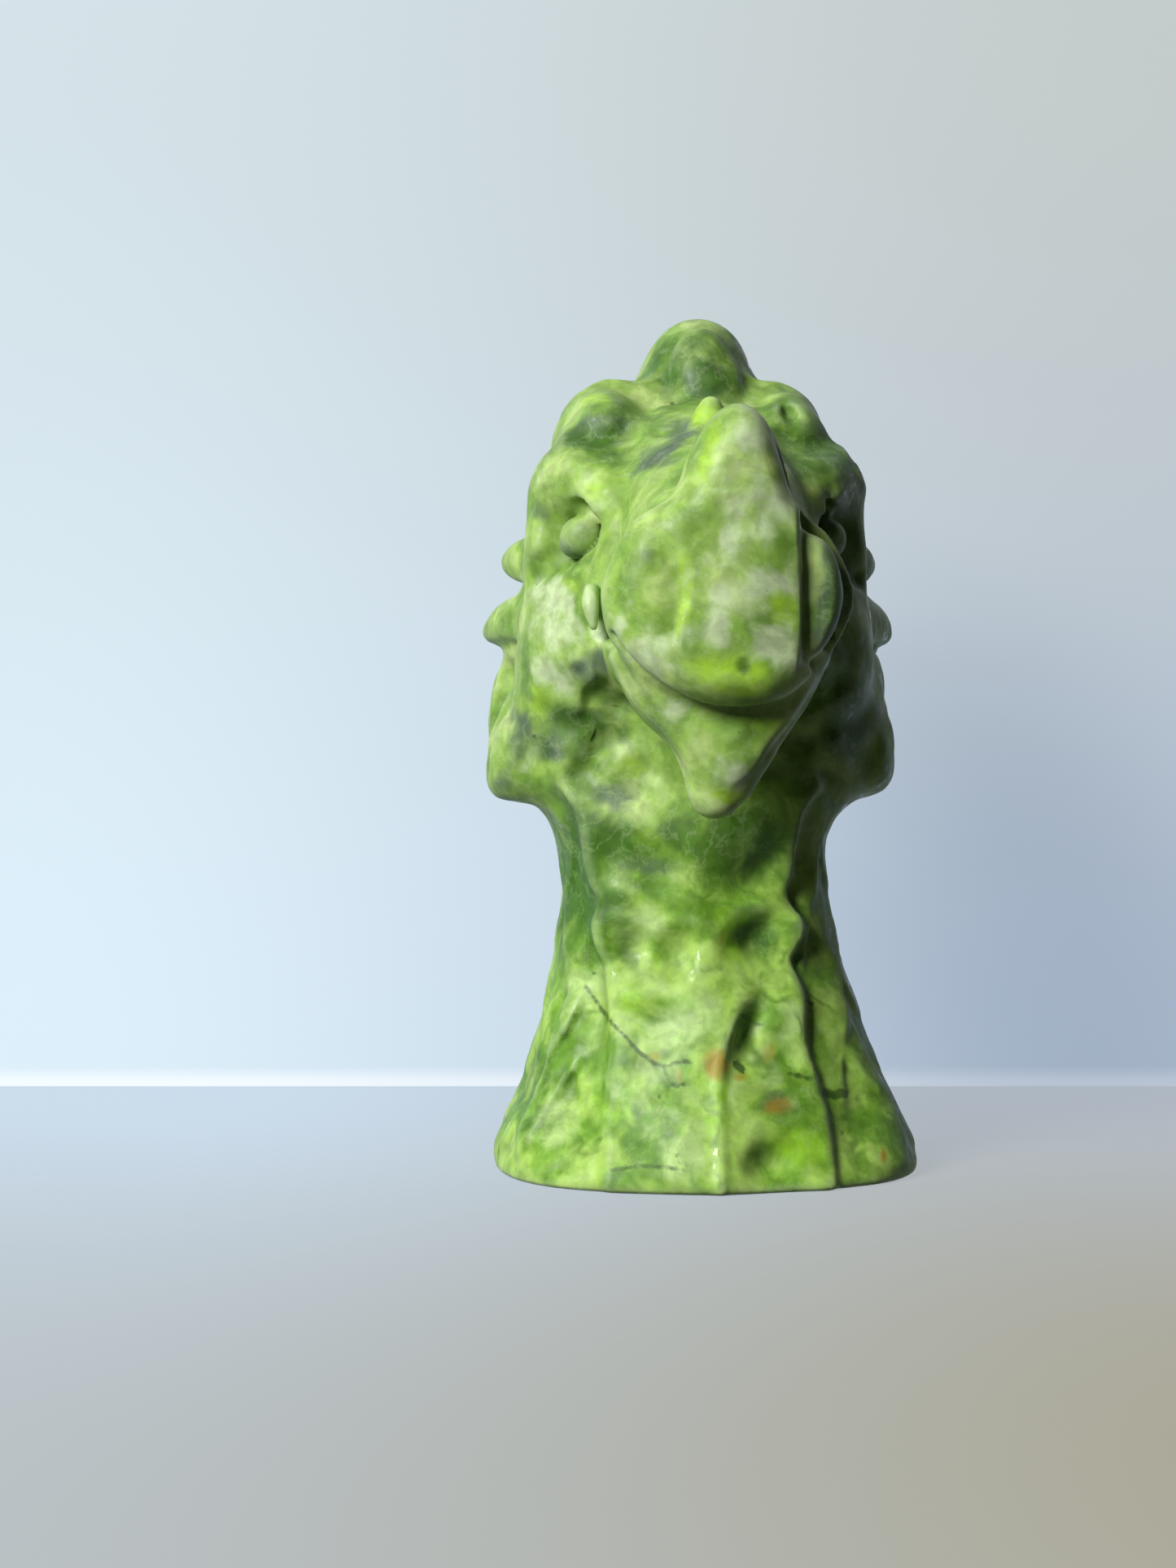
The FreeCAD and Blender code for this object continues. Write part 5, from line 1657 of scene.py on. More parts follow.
STONE_CLOUDS = {
    Tint.PALE: clouds(
        (0.0, -40.0, 74.0, 13.0, 8.0, 17.0, 0.3), (-18.0, -12.0, 67.0, 6.0, 10.0, 9.0, 0.35),
        (0.0, -18.0, 16.0, 22.0, 14.0, 16.0, 0.36), (-14.9, -20.0, 70.3, 1.3, 3.0, 2.8, 1.0),
        (2.4, -38.0, 88.0, 3.6, 6.0, 4.4, 0.9), (4.2, -39.0, 80.0, 3.4, 5.0, 3.2, 0.75),
        (-0.6, -41.0, 76.8, 2.4, 5.0, 3.0, 0.6), (3.8, -42.0, 71.6, 4.4, 5.0, 2.2, 0.7),
        (-1.8, -42.0, 68.4, 2.0, 5.0, 3.4, 0.7), (5.4, -41.0, 64.6, 3.0, 5.0, 2.4, 0.7),
        (-2.0, -41.0, 65.4, 1.4, 5.0, 1.2, 0.7), (-7.6, -40.0, 62.6, 3.2, 5.0, 2.0, 0.5),
        (-9.6, -39.0, 65.2, 3.0, 6.0, 2.6, 0.55), (-13.4, -37.0, 67.6, 1.2, 6.0, 3.4, 0.6),
        (-19.2, -10.0, 70.4, 4.2, 8.0, 5.0, 0.65), (-18.4, -11.0, 62.4, 3.0, 8.0, 3.2, 0.5),
        (-13.2, -18.0, 67.4, 2.0, 6.0, 2.2, 0.8), (-12.4, -17.0, 78.0, 1.4, 5.0, 3.4, 0.6),
        (-13.6, -14.0, 91.4, 5.4, 6.0, 1.4, 0.55), (-6.8, -34.0, 57.8, 3.0, 5.0, 3.0, 0.55),
        (0.6, -36.0, 50.4, 2.4, 4.0, 3.0, 0.6), (-21.6, -6.0, 52.6, 2.4, 8.0, 2.6, 0.5),
        (-9.0, -16.0, 32.0, 4.4, 6.0, 3.4, 0.6), (-4.0, -18.0, 20.0, 4.6, 6.0, 4.0, 0.5),
        (-16.0, -12.0, 24.0, 3.6, 8.0, 4.6, 0.6), (-19.6, -14.0, 8.0, 4.0, 8.0, 4.0, 0.6),
        (-4.0, -24.0, 4.0, 4.4, 6.0, 3.0, 0.5), (10.4, -18.0, 18.6, 3.0, 6.0, 3.6, 0.4),
    ),
    Tint.LIME: clouds(
        (-2.6, -38.0, 85.2, 1.8, 5.0, 4.8, 1.0), (0.8, -36.0, 91.0, 1.6, 5.0, 1.8, 0.5),
        (-0.8, -17.0, 95.4, 3.0, 3.6, 3.0, 1.0), (-6.6, -41.0, 71.0, 1.3, 4.0, 6.4, 0.95),
        (-9.0, -40.0, 77.4, 2.4, 4.0, 1.2, 0.5), (6.6, -40.0, 79.2, 2.6, 4.0, 2.8, 0.7),
        (5.8, -42.0, 69.0, 2.0, 4.0, 4.4, 0.6), (-0.6, -42.0, 61.6, 5.0, 5.0, 2.8, 1.0),
        (-11.6, -39.0, 68.0, 1.6, 4.0, 2.4, 0.35), (-13.6, -16.0, 84.6, 4.2, 5.0, 2.6, 0.9),
        (-14.6, -8.0, 97.8, 4.4, 6.0, 1.8, 0.8), (-4.0, -5.0, 105.4, 3.0, 6.0, 3.0, 0.7),
        (-17.4, -14.0, 73.4, 3.6, 6.0, 1.6, 0.6), (-21.0, -6.0, 58.4, 2.2, 6.0, 3.6, 0.7),
        (-9.4, -14.0, 50.6, 3.4, 6.0, 2.2, 0.6), (0.2, -34.0, 47.4, 2.6, 5.0, 1.6, 0.8),
        (4.6, -34.0, 57.0, 3.6, 5.0, 2.2, 0.6), (-10.0, -15.0, 43.0, 4.4, 6.0, 2.4, 0.5),
        (2.6, -17.0, 30.6, 3.6, 6.0, 4.4, 0.7), (-10.0, -17.0, 24.0, 3.2, 6.0, 3.2, 0.6),
        (-0.4, -22.0, 11.0, 2.6, 6.0, 5.0, 0.7), (-12.6, -20.0, 10.0, 3.6, 6.0, 3.0, 0.5),
        (9.6, -22.0, 5.0, 4.6, 6.0, 3.0, 0.7),
    ),
    # Grey-green stone; the clouds under the horn's knob and round the eye at -X, on the snout's wing at +X,
    # and the last two, on the side at +X turned from the lamp, are partly painted shade.
    Tint.GREY: clouds(
        (1.4, -5.0, 101.6, 3.4, 5.0, 3.0, 0.9), (-3.2, -6.0, 102.8, 1.4, 4.0, 2.2, 0.6),
        (-13.0, -10.0, 93.4, 5.4, 6.0, 2.0, 0.95), (12.6, -39.0, 70.6, 3.6, 6.0, 9.0, 0.75),
        (-16.0, -14.0, 79.6, 3.6, 4.0, 3.2, 0.45), (-12.6, -18.0, 59.0, 5.4, 6.0, 1.8, 0.8),
        (-20.0, -8.0, 54.6, 6.0, 8.0, 4.6, 0.5), (-17.2, -6.0, 91.4, 2.0, 6.0, 2.6, 0.5),
        (-17.0, -6.0, 87.0, 1.8, 5.0, 2.8, 0.7), (-19.6, -6.0, 83.4, 2.0, 6.0, 3.0, 0.6),
        (-7.4, -22.0, 88.6, 4.6, 8.0, 3.6, 0.75), (-3.6, -18.0, 92.4, 3.6, 6.0, 2.6, 0.7),
        (-18.0, -13.0, 77.4, 3.0, 6.0, 1.8, 0.5), (-10.6, -39.0, 74.8, 2.8, 4.0, 2.0, 0.5),
        (1.6, -42.0, 73.6, 3.0, 4.0, 2.4, 0.35), (11.8, -38.0, 74.0, 2.4, 5.0, 3.0, 0.7),
        (10.4, -39.0, 68.2, 2.0, 5.0, 4.4, 0.7), (-14.6, -16.0, 63.4, 2.8, 6.0, 2.6, 0.75),
        (-11.8, -17.0, 57.4, 4.4, 6.0, 1.6, 0.85), (-23.6, -4.0, 55.6, 1.8, 6.0, 3.6, 0.6),
        (-24.6, -3.0, 50.2, 2.0, 6.0, 2.4, 0.6), (-19.0, -10.0, 52.0, 2.6, 6.0, 1.8, 0.5),
        (-11.4, -12.0, 47.6, 3.4, 6.0, 2.2, 0.75), (-6.8, -14.0, 39.4, 4.0, 5.0, 2.2, 0.6),
        (-10.0, -15.0, 28.8, 2.2, 5.0, 2.0, 0.5), (-7.0, -18.0, 15.6, 4.2, 6.0, 1.8, 0.45),
        (-21.6, -12.0, 14.6, 2.6, 8.0, 3.6, 0.45), (7.0, -20.0, 10.6, 3.4, 6.0, 2.2, 0.5),
        (16.0, -14.0, 30.0, 6.0, 10.0, 12.0, 0.5), (17.0, -10.0, 92.0, 6.0, 10.0, 8.0, 0.6),
    ),
    # Dark green stone, and also painted shade: on the side at +X, turned from the lamp; on the neck under
    # the head and under the jaw; in the throat panel's hollows; under the eye and by the mouth at -X; and,
    # together with darker stone, on the crest, the lower head and the snout's wing at +X.
    Tint.DEEP: clouds(
        (0.0, 0.0, 103.0, 11.0, 14.0, 9.0, 0.66), (-14.0, -6.0, 90.0, 8.0, 12.0, 8.0, 0.75),
        (-16.0, -8.0, 36.0, 10.0, 16.0, 12.0, 0.75), (-22.0, -8.0, 8.0, 7.0, 14.0, 11.0, 0.4),
        (6.0, -20.0, 43.0, 16.0, 12.0, 4.0, 0.6), (-16.0, -10.0, 54.0, 11.0, 14.0, 5.4, 0.55),
        (0.0, -12.0, 42.0, 18.0, 14.0, 8.0, 0.42), (14.0, -10.0, 90.0, 10.0, 14.0, 12.0, 0.75),
        (-15.0, -8.0, 41.0, 6.0, 12.0, 8.0, 0.5), (-16.8, -14.0, 76.8, 2.6, 4.0, 1.4, 0.7),
        (13.0, -38.0, 70.0, 4.0, 6.0, 9.0, 0.8), (5.4, -14.0, 30.4, 3.0, 6.0, 2.0, 0.7),
        (4.6, -20.0, 19.0, 1.6, 6.0, 3.0, 0.6), (5.8, -20.0, 4.0, 2.6, 6.0, 2.0, 0.6),
        (-17.0, -12.0, 57.6, 4.6, 6.0, 1.7, 0.6), (0.6, -42.0, 62.8, 1.6, 4.0, 1.2, 0.7),
        (6.8, -12.0, 38.4, 4.0, 6.0, 2.6, 0.5), (5.8, -14.0, 29.0, 3.6, 6.0, 2.8, 0.5),
        (-16.0, -10.0, 90.8, 1.6, 5.0, 1.4, 0.6), (17.0, -8.0, 60.0, 8.0, 14.0, 14.0, 0.8),
        (16.6, -14.0, 78.0, 6.0, 10.0, 8.0, 0.8),
    ),
    Tint.RUST: clouds(
        (0.4, -22.0, 15.8, 1.9, 5.0, 2.3, 0.8), (3.4, -22.0, 14.2, 1.5, 5.0, 0.8, 0.5),
        (7.6, -22.0, 10.4, 1.9, 5.0, 1.5, 0.62), (6.6, -20.0, 17.0, 0.9, 5.0, 1.5, 0.55),
        (-7.0, -19.0, 16.4, 1.1, 5.0, 0.9, 0.4), (-4.5, -21.0, 13.4, 0.9, 5.0, 0.9, 0.3),
        (20.8, -16.0, 3.4, 0.7, 5.0, 1.4, 0.8), (0.9, -16.0, 29.4, 0.9, 5.0, 1.0, 0.4),
    ),
}


STONE_CRACKS = (
    Stroke(
        ((-15.8, 24.8), (-14.2, 22.6), (-12.0, 19.6), (-10.6, 18.2), (-8.4, 15.9), (-6.2, 14.8),
         (-4.0, 15.4), (-1.6, 15.2)),
        1.0, 0.7, 1.0, 0.08,
    ),
    Stroke(((2.2, 15.4), (3.0, 14.8), (3.9, 13.9)), 1.15, 0.9, 1.0, 0.1),
    Stroke(((-6.2, 14.8), (-5.4, 13.0), (-4.0, 12.4)), 0.95, 0.7, 1.0, 0.1),
    Stroke(((3.4, 21.0), (5.6, 19.6), (7.0, 19.4)), 0.95, 0.7, 1.0, 0.1),
    Stroke(((8.8, 13.8), (10.6, 13.4), (12.8, 12.8)), 1.0, 0.7, 1.0, 0.1),
    Stroke(((13.4, 11.4), (15.4, 10.6), (16.6, 10.8), (17.6, 10.0)), 1.15, 1.0, 1.0, 0.1),
    Stroke(((11.8, 22.4), (13.0, 21.6), (13.8, 21.4)), 1.0, 0.7, 1.0, 0.1),
    Stroke(((-13.8, 2.6), (-8.6, 3.4), (-3.2, 3.0)), 0.95, 0.7, 1.0, 0.1),
    Stroke(((-4.6, 6.6), (-4.4, 5.4), (-5.0, 4.4), (-4.2, 3.4)), 0.9, 0.6, 1.0, 0.1),
    Dimple((-3.5, 97.8), (0.75, 0.8), -1.1),
    Dimple((3.2, 70.6), (0.5, 0.5), -1.0),
    Dimple((4.7, 70.5), (0.5, 0.5), -1.0),
    Dimple((-21.4, 55.2), (0.7, 0.7), -1.05),
    Dimple((0.8, 55.0), (0.7, 0.5), -1.0),
    Dimple((-6.7, 11.2), (0.6, 0.6), -1.05),
    Dimple((-3.8, 12.8), (0.7, 0.6), -1.1),
    Dimple((-13.9, 25.4), (0.6, 0.6), -1.0),
    Dimple((16.0, 6.3), (0.6, 0.7), -1.05),
    Dimple((2.8, 42.6), (0.6, 0.6), -1.0),
)


class Mason:
    """Divides the skin into the frame's masses and makes a Blender object of each."""

    def __init__(self, skin: Skin, tints: Tinting, material: bpy.types.Material) -> None:
        """Takes the skin, what tints it and its finish."""
        self.skin = skin
        self.material = material
        self.shares = tints.layers(skin)

    def piece(self, mass: Mass) -> bpy.types.Object | None:
        """Makes one mass's object.

        Args:
            mass: the mass.

        Returns:
            The object, or None where the mass has no skin.
        """
        quads = self.skin.quads[self.skin.owner == mass.number]
        if not len(quads):
            LOG.warning("%s has no skin", mass.value)
            return None
        used, numbered = np.unique(quads, return_inverse=True)
        quads = numbered.reshape(quads.shape)
        points, caps = capped(self.skin.points[used], self.skin.normals[used], quads, CAP_DEPTH)
        mesh = bpy.data.meshes.new("carved_" + mass.value)
        mesh.from_pydata((points * MM).tolist(), [], quads.tolist() + caps)
        mesh.polygons.foreach_set("use_smooth", [True] * len(mesh.polygons))
        added = len(points) - len(used)
        directions = np.vstack([self.skin.normals[used], np.tile([0.0, 0.0, 1.0], (added, 1))])
        mesh.normals_split_custom_set_from_vertices(directions.tolist())
        for name, values in self.shares.items():
            self.paint(mesh, name, np.concatenate([values[used], np.zeros(added)]))
        mesh.materials.append(self.material)
        piece = bpy.data.objects.new("carved_" + mass.value, mesh)
        bpy.context.scene.collection.objects.link(piece)
        dress(piece, mass.value)
        LOG.info("piece %s: %d faces", piece.name, len(mesh.polygons))
        return piece

    def paint(self, mesh: bpy.types.Mesh, name: str, values: Array) -> None:
        """Stores one number for each vertex."""
        layer = mesh.attributes.new(name, "FLOAT", "POINT")
        layer.data.foreach_set("value", values.astype(np.float32))

    def build(self) -> list[bpy.types.Object]:
        """Makes all the pieces."""
        pieces = [self.piece(mass) for mass in MASSES]
        return [piece for piece in pieces if piece]


class Shading:
    """A material's node tree while it is built."""

    def __init__(self, name: str) -> None:
        """Starts a material."""
        self.material = bpy.data.materials.new(name)
        self.material.use_nodes = True
        self.tree = self.material.node_tree
        self.shader = self.tree.nodes["Principled BSDF"]

    def feed(self, socket: Socket, value: Feed) -> None:
        """Links a socket to another one, or sets it."""
        if isinstance(value, Socket):
            self.tree.links.new(value, socket)
        elif isinstance(value, tuple) and len(value) == 3 and socket.type == "RGBA":
            socket.default_value = value + (1.0,)
        else:
            socket.default_value = value

    def node(self, kind: str, feeds: dict[str | int, Feed], **settings: str | bool) -> bpy.types.Node:
        """Adds a node.

        Args:
            kind: the node's type.
            feeds: what goes into its sockets, by their names or numbers.
            settings: its properties.

        Returns:
            The node.
        """
        node = self.tree.nodes.new(kind)
        for name, value in settings.items():
            setattr(node, name, value)
        for key, value in feeds.items():
            self.feed(node.inputs[key], value)
        return node

    def place(self) -> Socket:
        """The place in the object's own coordinates, in metres."""
        return self.node("ShaderNodeTexCoord", {}).outputs["Object"]

    def layer(self, name: str) -> Socket:
        """A number painted on the mesh."""
        return self.node("ShaderNodeAttribute", {}, attribute_name=name).outputs["Fac"]

    def sums(self, operation: str, first: Feed, second: Feed = 0.0, clamp: bool = False) -> Socket:
        """The result of a sum on two numbers."""
        feeds = {0: first, 1: second}
        return self.node("ShaderNodeMath", feeds, operation=operation, use_clamp=clamp).outputs[0]

    def plus(self, first: Feed, second: Feed) -> Socket:
        """The sum of two numbers."""
        return self.sums("ADD", first, second)

    def less(self, first: Feed, second: Feed) -> Socket:
        """The first number less the second."""
        return self.sums("SUBTRACT", first, second)

    def times(self, first: Feed, second: Feed) -> Socket:
        """The product of two numbers."""
        return self.sums("MULTIPLY", first, second)

    def span(self, value: Feed, low: float, high: float, start: float = 0.0, end: float = 1.0) -> Socket:
        """A soft step of a value between two bounds."""
        feeds = {"Value": value, "From Min": low, "From Max": high, "To Min": start, "To Max": end}
        return self.node("ShaderNodeMapRange", feeds, interpolation_type="SMOOTHSTEP").outputs["Result"]

    def mixed(self, share: Feed, first: Feed, second: Feed, blend: str = "MIX") -> Socket:
        """Two colours mixed."""
        feeds = {0: share, 6: first, 7: second}
        return self.node("ShaderNodeMix", feeds, data_type="RGBA", blend_type=blend).outputs[2]

    def show_front_only(self) -> None:
        """Lets the surface be seen from its front and looked through from behind."""
        behind = self.node("ShaderNodeNewGeometry", {}).outputs["Backfacing"]
        clear = self.node("ShaderNodeBsdfTransparent", {}).outputs["BSDF"]
        feeds = {0: behind, 1: self.shader.outputs["BSDF"], 2: clear}
        mix = self.node("ShaderNodeMixShader", feeds)
        self.feed(self.tree.nodes["Material Output"].inputs["Surface"], mix.outputs["Shader"])


@dataclass(frozen=True)
class Pattern:
    """A noise pattern.

    Attributes:
        size: how large its features are, in millimetres.
        detail: how many finer levels it has.
        rough: how strong they are.
        warp: how far it is drawn out of true.
    """

    size: float
    detail: float = 4.0
    rough: float = 0.5
    warp: float = 0.0

    def over(self, shading: Shading, place: Feed, output: str = "Fac") -> Socket:
        """The pattern over a place, as a number around one half or as a colour."""
        feeds = {
            "Vector": place,
            "Scale": 1.0 / (self.size * MM),
            "Detail": self.detail,
            "Roughness": self.rough,
            "Distortion": self.warp,
        }
        return shading.node("ShaderNodeTexNoise", feeds).outputs[output]


@dataclass(frozen=True)
class Serpentine:
    """Polished serpentine: a translucent yellow-green stone with clouds, threads and small glints.

    A band is the pair of values between which a pattern or a layer goes from nothing to all. A share is the
    most that it gives.
    """

    ground: Colour = (0.26, 0.43, 0.075)
    ground_deep: Colour = (0.15, 0.29, 0.04)
    light: Colour = (0.43, 0.58, 0.18)
    pale: Colour = (0.50, 0.62, 0.34)
    lime: Colour = (0.33, 0.56, 0.04)
    grey: Colour = (0.10, 0.15, 0.09)
    deep: Colour = (0.06, 0.15, 0.015)
    rust: Colour = (0.40, 0.19, 0.01)
    thread: Colour = (0.02, 0.06, 0.01)
    vein: Colour = (0.07, 0.20, 0.01)
    sap: Colour = (0.86, 1.0, 0.60)  # what the veined stone lets through

    flow: Pattern = Pattern(9.0, 2.0)
    flow_reach: float = 4.0  # how far the flow draws patterns out of true, in millimetres
    clouds: Pattern = Pattern(6.5)
    mottle: Pattern = Pattern(1.9, rough=0.55)
    wisps: Pattern = Pattern(5.0, 6.0, 0.62)
    courses: Pattern = Pattern(9.0, 3.0)
    course_gaps: Pattern = Pattern(4.0, 3.0)
    hair: Pattern = Pattern(0.9, 3.0)
    wear: Pattern = Pattern(3.0, rough=0.6)
    coarse: Pattern = Pattern(1.6, 3.0, 0.55)
    fine: Pattern = Pattern(0.35, 3.0, 0.6)
    glint_fields: Pattern = Pattern(7.0, 3.0, warp=0.5)
    glint_size: float = 0.75

    ground_band: Flat = (0.34, 0.52)
    light_band: Flat = (0.5, 0.66)
    veined_light: float = 0.07
    tint_band: Flat = (0.15, 0.85)
    tint_start: Flat = (0.0, 0.3)
    wisp_middle: float = 0.52
    wisp_band: Flat = (0.03, 0.0)
    wisp_share: float = 0.16
    hollow_shade_share: float = 0.6
    course_band: Flat = (0.05, 0.0)
    gap_band: Flat = (0.42, 0.62)
    vein_share: float = 0.6
    grain_band: Flat = (0.32, 0.68)
    grain_tones: Flat = (0.82, 1.14)
    rim_highlight_share: float = 0.42
    crease_shade_share: float = 0.35
    rust_mottle: float = 1.2
    rust_share: float = 0.85
    crack_wander: float = 0.5
    crack_band: Flat = (0.72, 1.05)
    crack_share: float = 0.78

    roughness: float = 0.45
    polish: Flat = (-0.07, 0.10)  # how far the roughness departs from that, from polished to worn
    wear_band: Flat = (0.3, 0.7)
    crease_roughness: float = 0.2
    glint_polish: float = 0.3
    glint_pick: Flat = (0.80, 0.84)
    glint_band: Flat = (0.52, 0.66)
    bump_shares: Point = (0.8, 0.25, 0.35)  # of the coarse and the fine unevenness and of the glints
    bump_strength: float = 0.28
    bump_height: float = 0.12
    gleam: float = 0.24
    bending: float = 1.53
    milkiness: float = 0.25
    depth: float = 1.3  # how far light travels inside the stone, in millimetres
    depth_shares: Colour = (0.55, 1.0, 0.35)

    def material(self) -> bpy.types.Material:
        """Makes the material."""
        shading = Shading("stone")
        place = shading.place()
        inputs = shading.shader.inputs
        shading.feed(inputs["Base Color"], self.colour(shading, self.bent(shading, place)))
        shading.feed(inputs["Roughness"], self.gloss(shading, place))
        shading.feed(inputs["Normal"], self.surface(shading, place))
        inputs["Specular IOR Level"].default_value = self.gleam
        inputs["Subsurface Weight"].default_value = self.milkiness
        inputs["Subsurface Radius"].default_value = self.depth_shares
        inputs["Subsurface Scale"].default_value = self.depth * MM
        inputs["IOR"].default_value = self.bending
        return shading.material

    def bent(self, shading: Shading, place: Feed) -> Socket:
        """The place, drawn out of true so that patterns flow through the stone."""
        drift = self.flow.over(shading, place, "Color")
        centred = shading.node("ShaderNodeMapping", {"Vector": drift, "Location": (-0.5, -0.5, -0.5)})
        reach = (self.flow_reach * MM,) * 3
        feeds = {0: centred.outputs["Vector"], 1: reach, 2: place}
        return shading.node("ShaderNodeVectorMath", feeds, operation="MULTIPLY_ADD").outputs[0]

    def colour(self, shading: Shading, place: Feed) -> Socket:
        """The stone's colour: ground, tints (some of them painted shade) and veins, grain, then a painted
        highlight on edges, painted shade in creases, stains and cracks.
        """
        mottle = self.mottle.over(shading, place)
        colour = self.grounded(shading, place)
        colour = self.tinted(shading, place, colour)
        colour = self.veined(shading, place, colour)
        tone = shading.span(mottle, *self.grain_band, *self.grain_tones)
        grain = shading.node("ShaderNodeCombineColor", {"Red": tone, "Green": tone, "Blue": tone})
        colour = shading.mixed(1.0, colour, grain.outputs["Color"], "MULTIPLY")
        # A painted highlight along the edges.
        colour = shading.mixed(shading.times(shading.layer("rim"), self.rim_highlight_share), colour, self.pale)
        # Painted shade in the creases.
        colour = shading.mixed(shading.times(shading.layer("crease"), self.crease_shade_share), colour, self.deep)
        colour = self.stained(shading, mottle, colour)
        return self.cracked(shading, place, colour)

    def grounded(self, shading: Shading, place: Feed) -> Socket:
        """The ground's three greens."""
        clouds = self.clouds.over(shading, place)
        colour = shading.mixed(shading.span(clouds, *self.ground_band), self.ground_deep, self.ground)
        bright = shading.plus(clouds, shading.times(shading.layer("veined"), self.veined_light))
        return shading.mixed(shading.span(bright, *self.light_band), colour, self.light)

    def tinted(self, shading: Shading, place: Feed, colour: Feed) -> Socket:
        """The colour with the painted tints, some of them painted shade, each broken up by noise, pale
        wisps, and painted shade in the hollows.
        """
        # The grey and the deep tints also lay painted shade.
        for tint, shade, size, ragged in (
            (Tint.LIME, self.lime, 4.0, 0.6),
            (Tint.PALE, self.pale, 2.8, 0.8),
            (Tint.GREY, self.grey, 3.6, 0.6),
            (Tint.DEEP, self.deep, 4.4, 0.7),
        ):
            painted = shading.layer(tint.value)
            wander = shading.times(shading.less(Pattern(size).over(shading, place), 0.5), 2.0 * ragged)
            share = shading.span(shading.plus(painted, wander), *self.tint_band)
            share = shading.times(share, shading.span(painted, *self.tint_start))
            colour = shading.mixed(share, colour, shade)
        ridge = shading.sums("ABSOLUTE", shading.less(self.wisps.over(shading, place), self.wisp_middle))
        wisp = shading.times(shading.span(ridge, *self.wisp_band), self.wisp_share)
        colour = shading.mixed(wisp, colour, self.pale)
        # Painted shade in the hollows.
        return shading.mixed(shading.times(shading.layer("hollow"), self.hollow_shade_share), colour, self.grey)

    def veined(self, shading: Shading, place: Feed, colour: Feed) -> Socket:
        """The colour with the veined stone's tone and its soft, broken, dark green veins."""
        veined = shading.layer("veined")
        colour = shading.mixed(veined, colour, self.sap, "MULTIPLY")
        ridge = shading.sums("ABSOLUTE", shading.less(self.courses.over(shading, place), 0.5))
        gaps = shading.span(self.course_gaps.over(shading, place), *self.gap_band)
        share = shading.times(shading.span(ridge, *self.course_band), gaps)
        return shading.mixed(shading.times(share, shading.times(veined, self.vein_share)), colour, self.vein)

    def stained(self, shading: Shading, mottle: Feed, colour: Feed) -> Socket:
        """The colour with the rust stains."""
        painted = shading.layer(Tint.RUST.value)
        blot = shading.times(shading.less(mottle, 0.5), self.rust_mottle)
        rust = shading.span(shading.plus(painted, blot), 0.0, 1.0, 0.0, self.rust_share)
        return shading.mixed(shading.times(rust, shading.span(painted, *self.tint_start)), colour, self.rust)

    def cracked(self, shading: Shading, place: Feed, colour: Feed) -> Socket:
        """The colour with the dark hairlines and specks."""
        wander = shading.times(shading.less(self.hair.over(shading, place), 0.5), self.crack_wander)
        crack = shading.plus(shading.layer("crack"), wander)
        share = shading.span(crack, *self.crack_band, 0.0, self.crack_share)
        return shading.mixed(share, colour, self.thread)

    def gloss(self, shading: Shading, place: Feed) -> Socket:
        """The roughness: a waxy polish with duller hollows and bright crystal faces."""
        polished, worn = (self.roughness + change for change in self.polish)
        rough = shading.span(self.wear.over(shading, place), *self.wear_band, polished, worn)
        rough = shading.plus(rough, shading.times(shading.layer("crease"), self.crease_roughness))
        glints = shading.times(self.glints(shading, place), self.glint_polish)
        return shading.sums("SUBTRACT", rough, glints, clamp=True)

    def glints(self, shading: Shading, place: Feed) -> Socket:
        """Where crystals shine."""
        feeds = {"Vector": place, "Scale": 1.0 / (self.glint_size * MM), "Randomness": 1.0}
        cells = shading.node("ShaderNodeTexVoronoi", feeds)
        parts = shading.node("ShaderNodeSeparateColor", {"Color": cells.outputs["Color"]})
        where = shading.span(self.glint_fields.over(shading, place), *self.glint_band)
        return shading.times(shading.span(parts.outputs["Green"], *self.glint_pick), where)

    def surface(self, shading: Shading, place: Feed) -> Socket:
        """The fine unevenness of the polish."""
        coarse, fine, glint = self.bump_shares
        height = shading.plus(
            shading.times(self.coarse.over(shading, place), coarse),
            shading.times(self.fine.over(shading, place), fine),
        )
        height = shading.plus(height, shading.times(self.glints(shading, place), glint))
        feeds = {"Strength": self.bump_strength, "Distance": self.bump_height * MM, "Height": height}
        return shading.node("ShaderNodeBump", feeds).outputs["Normal"]


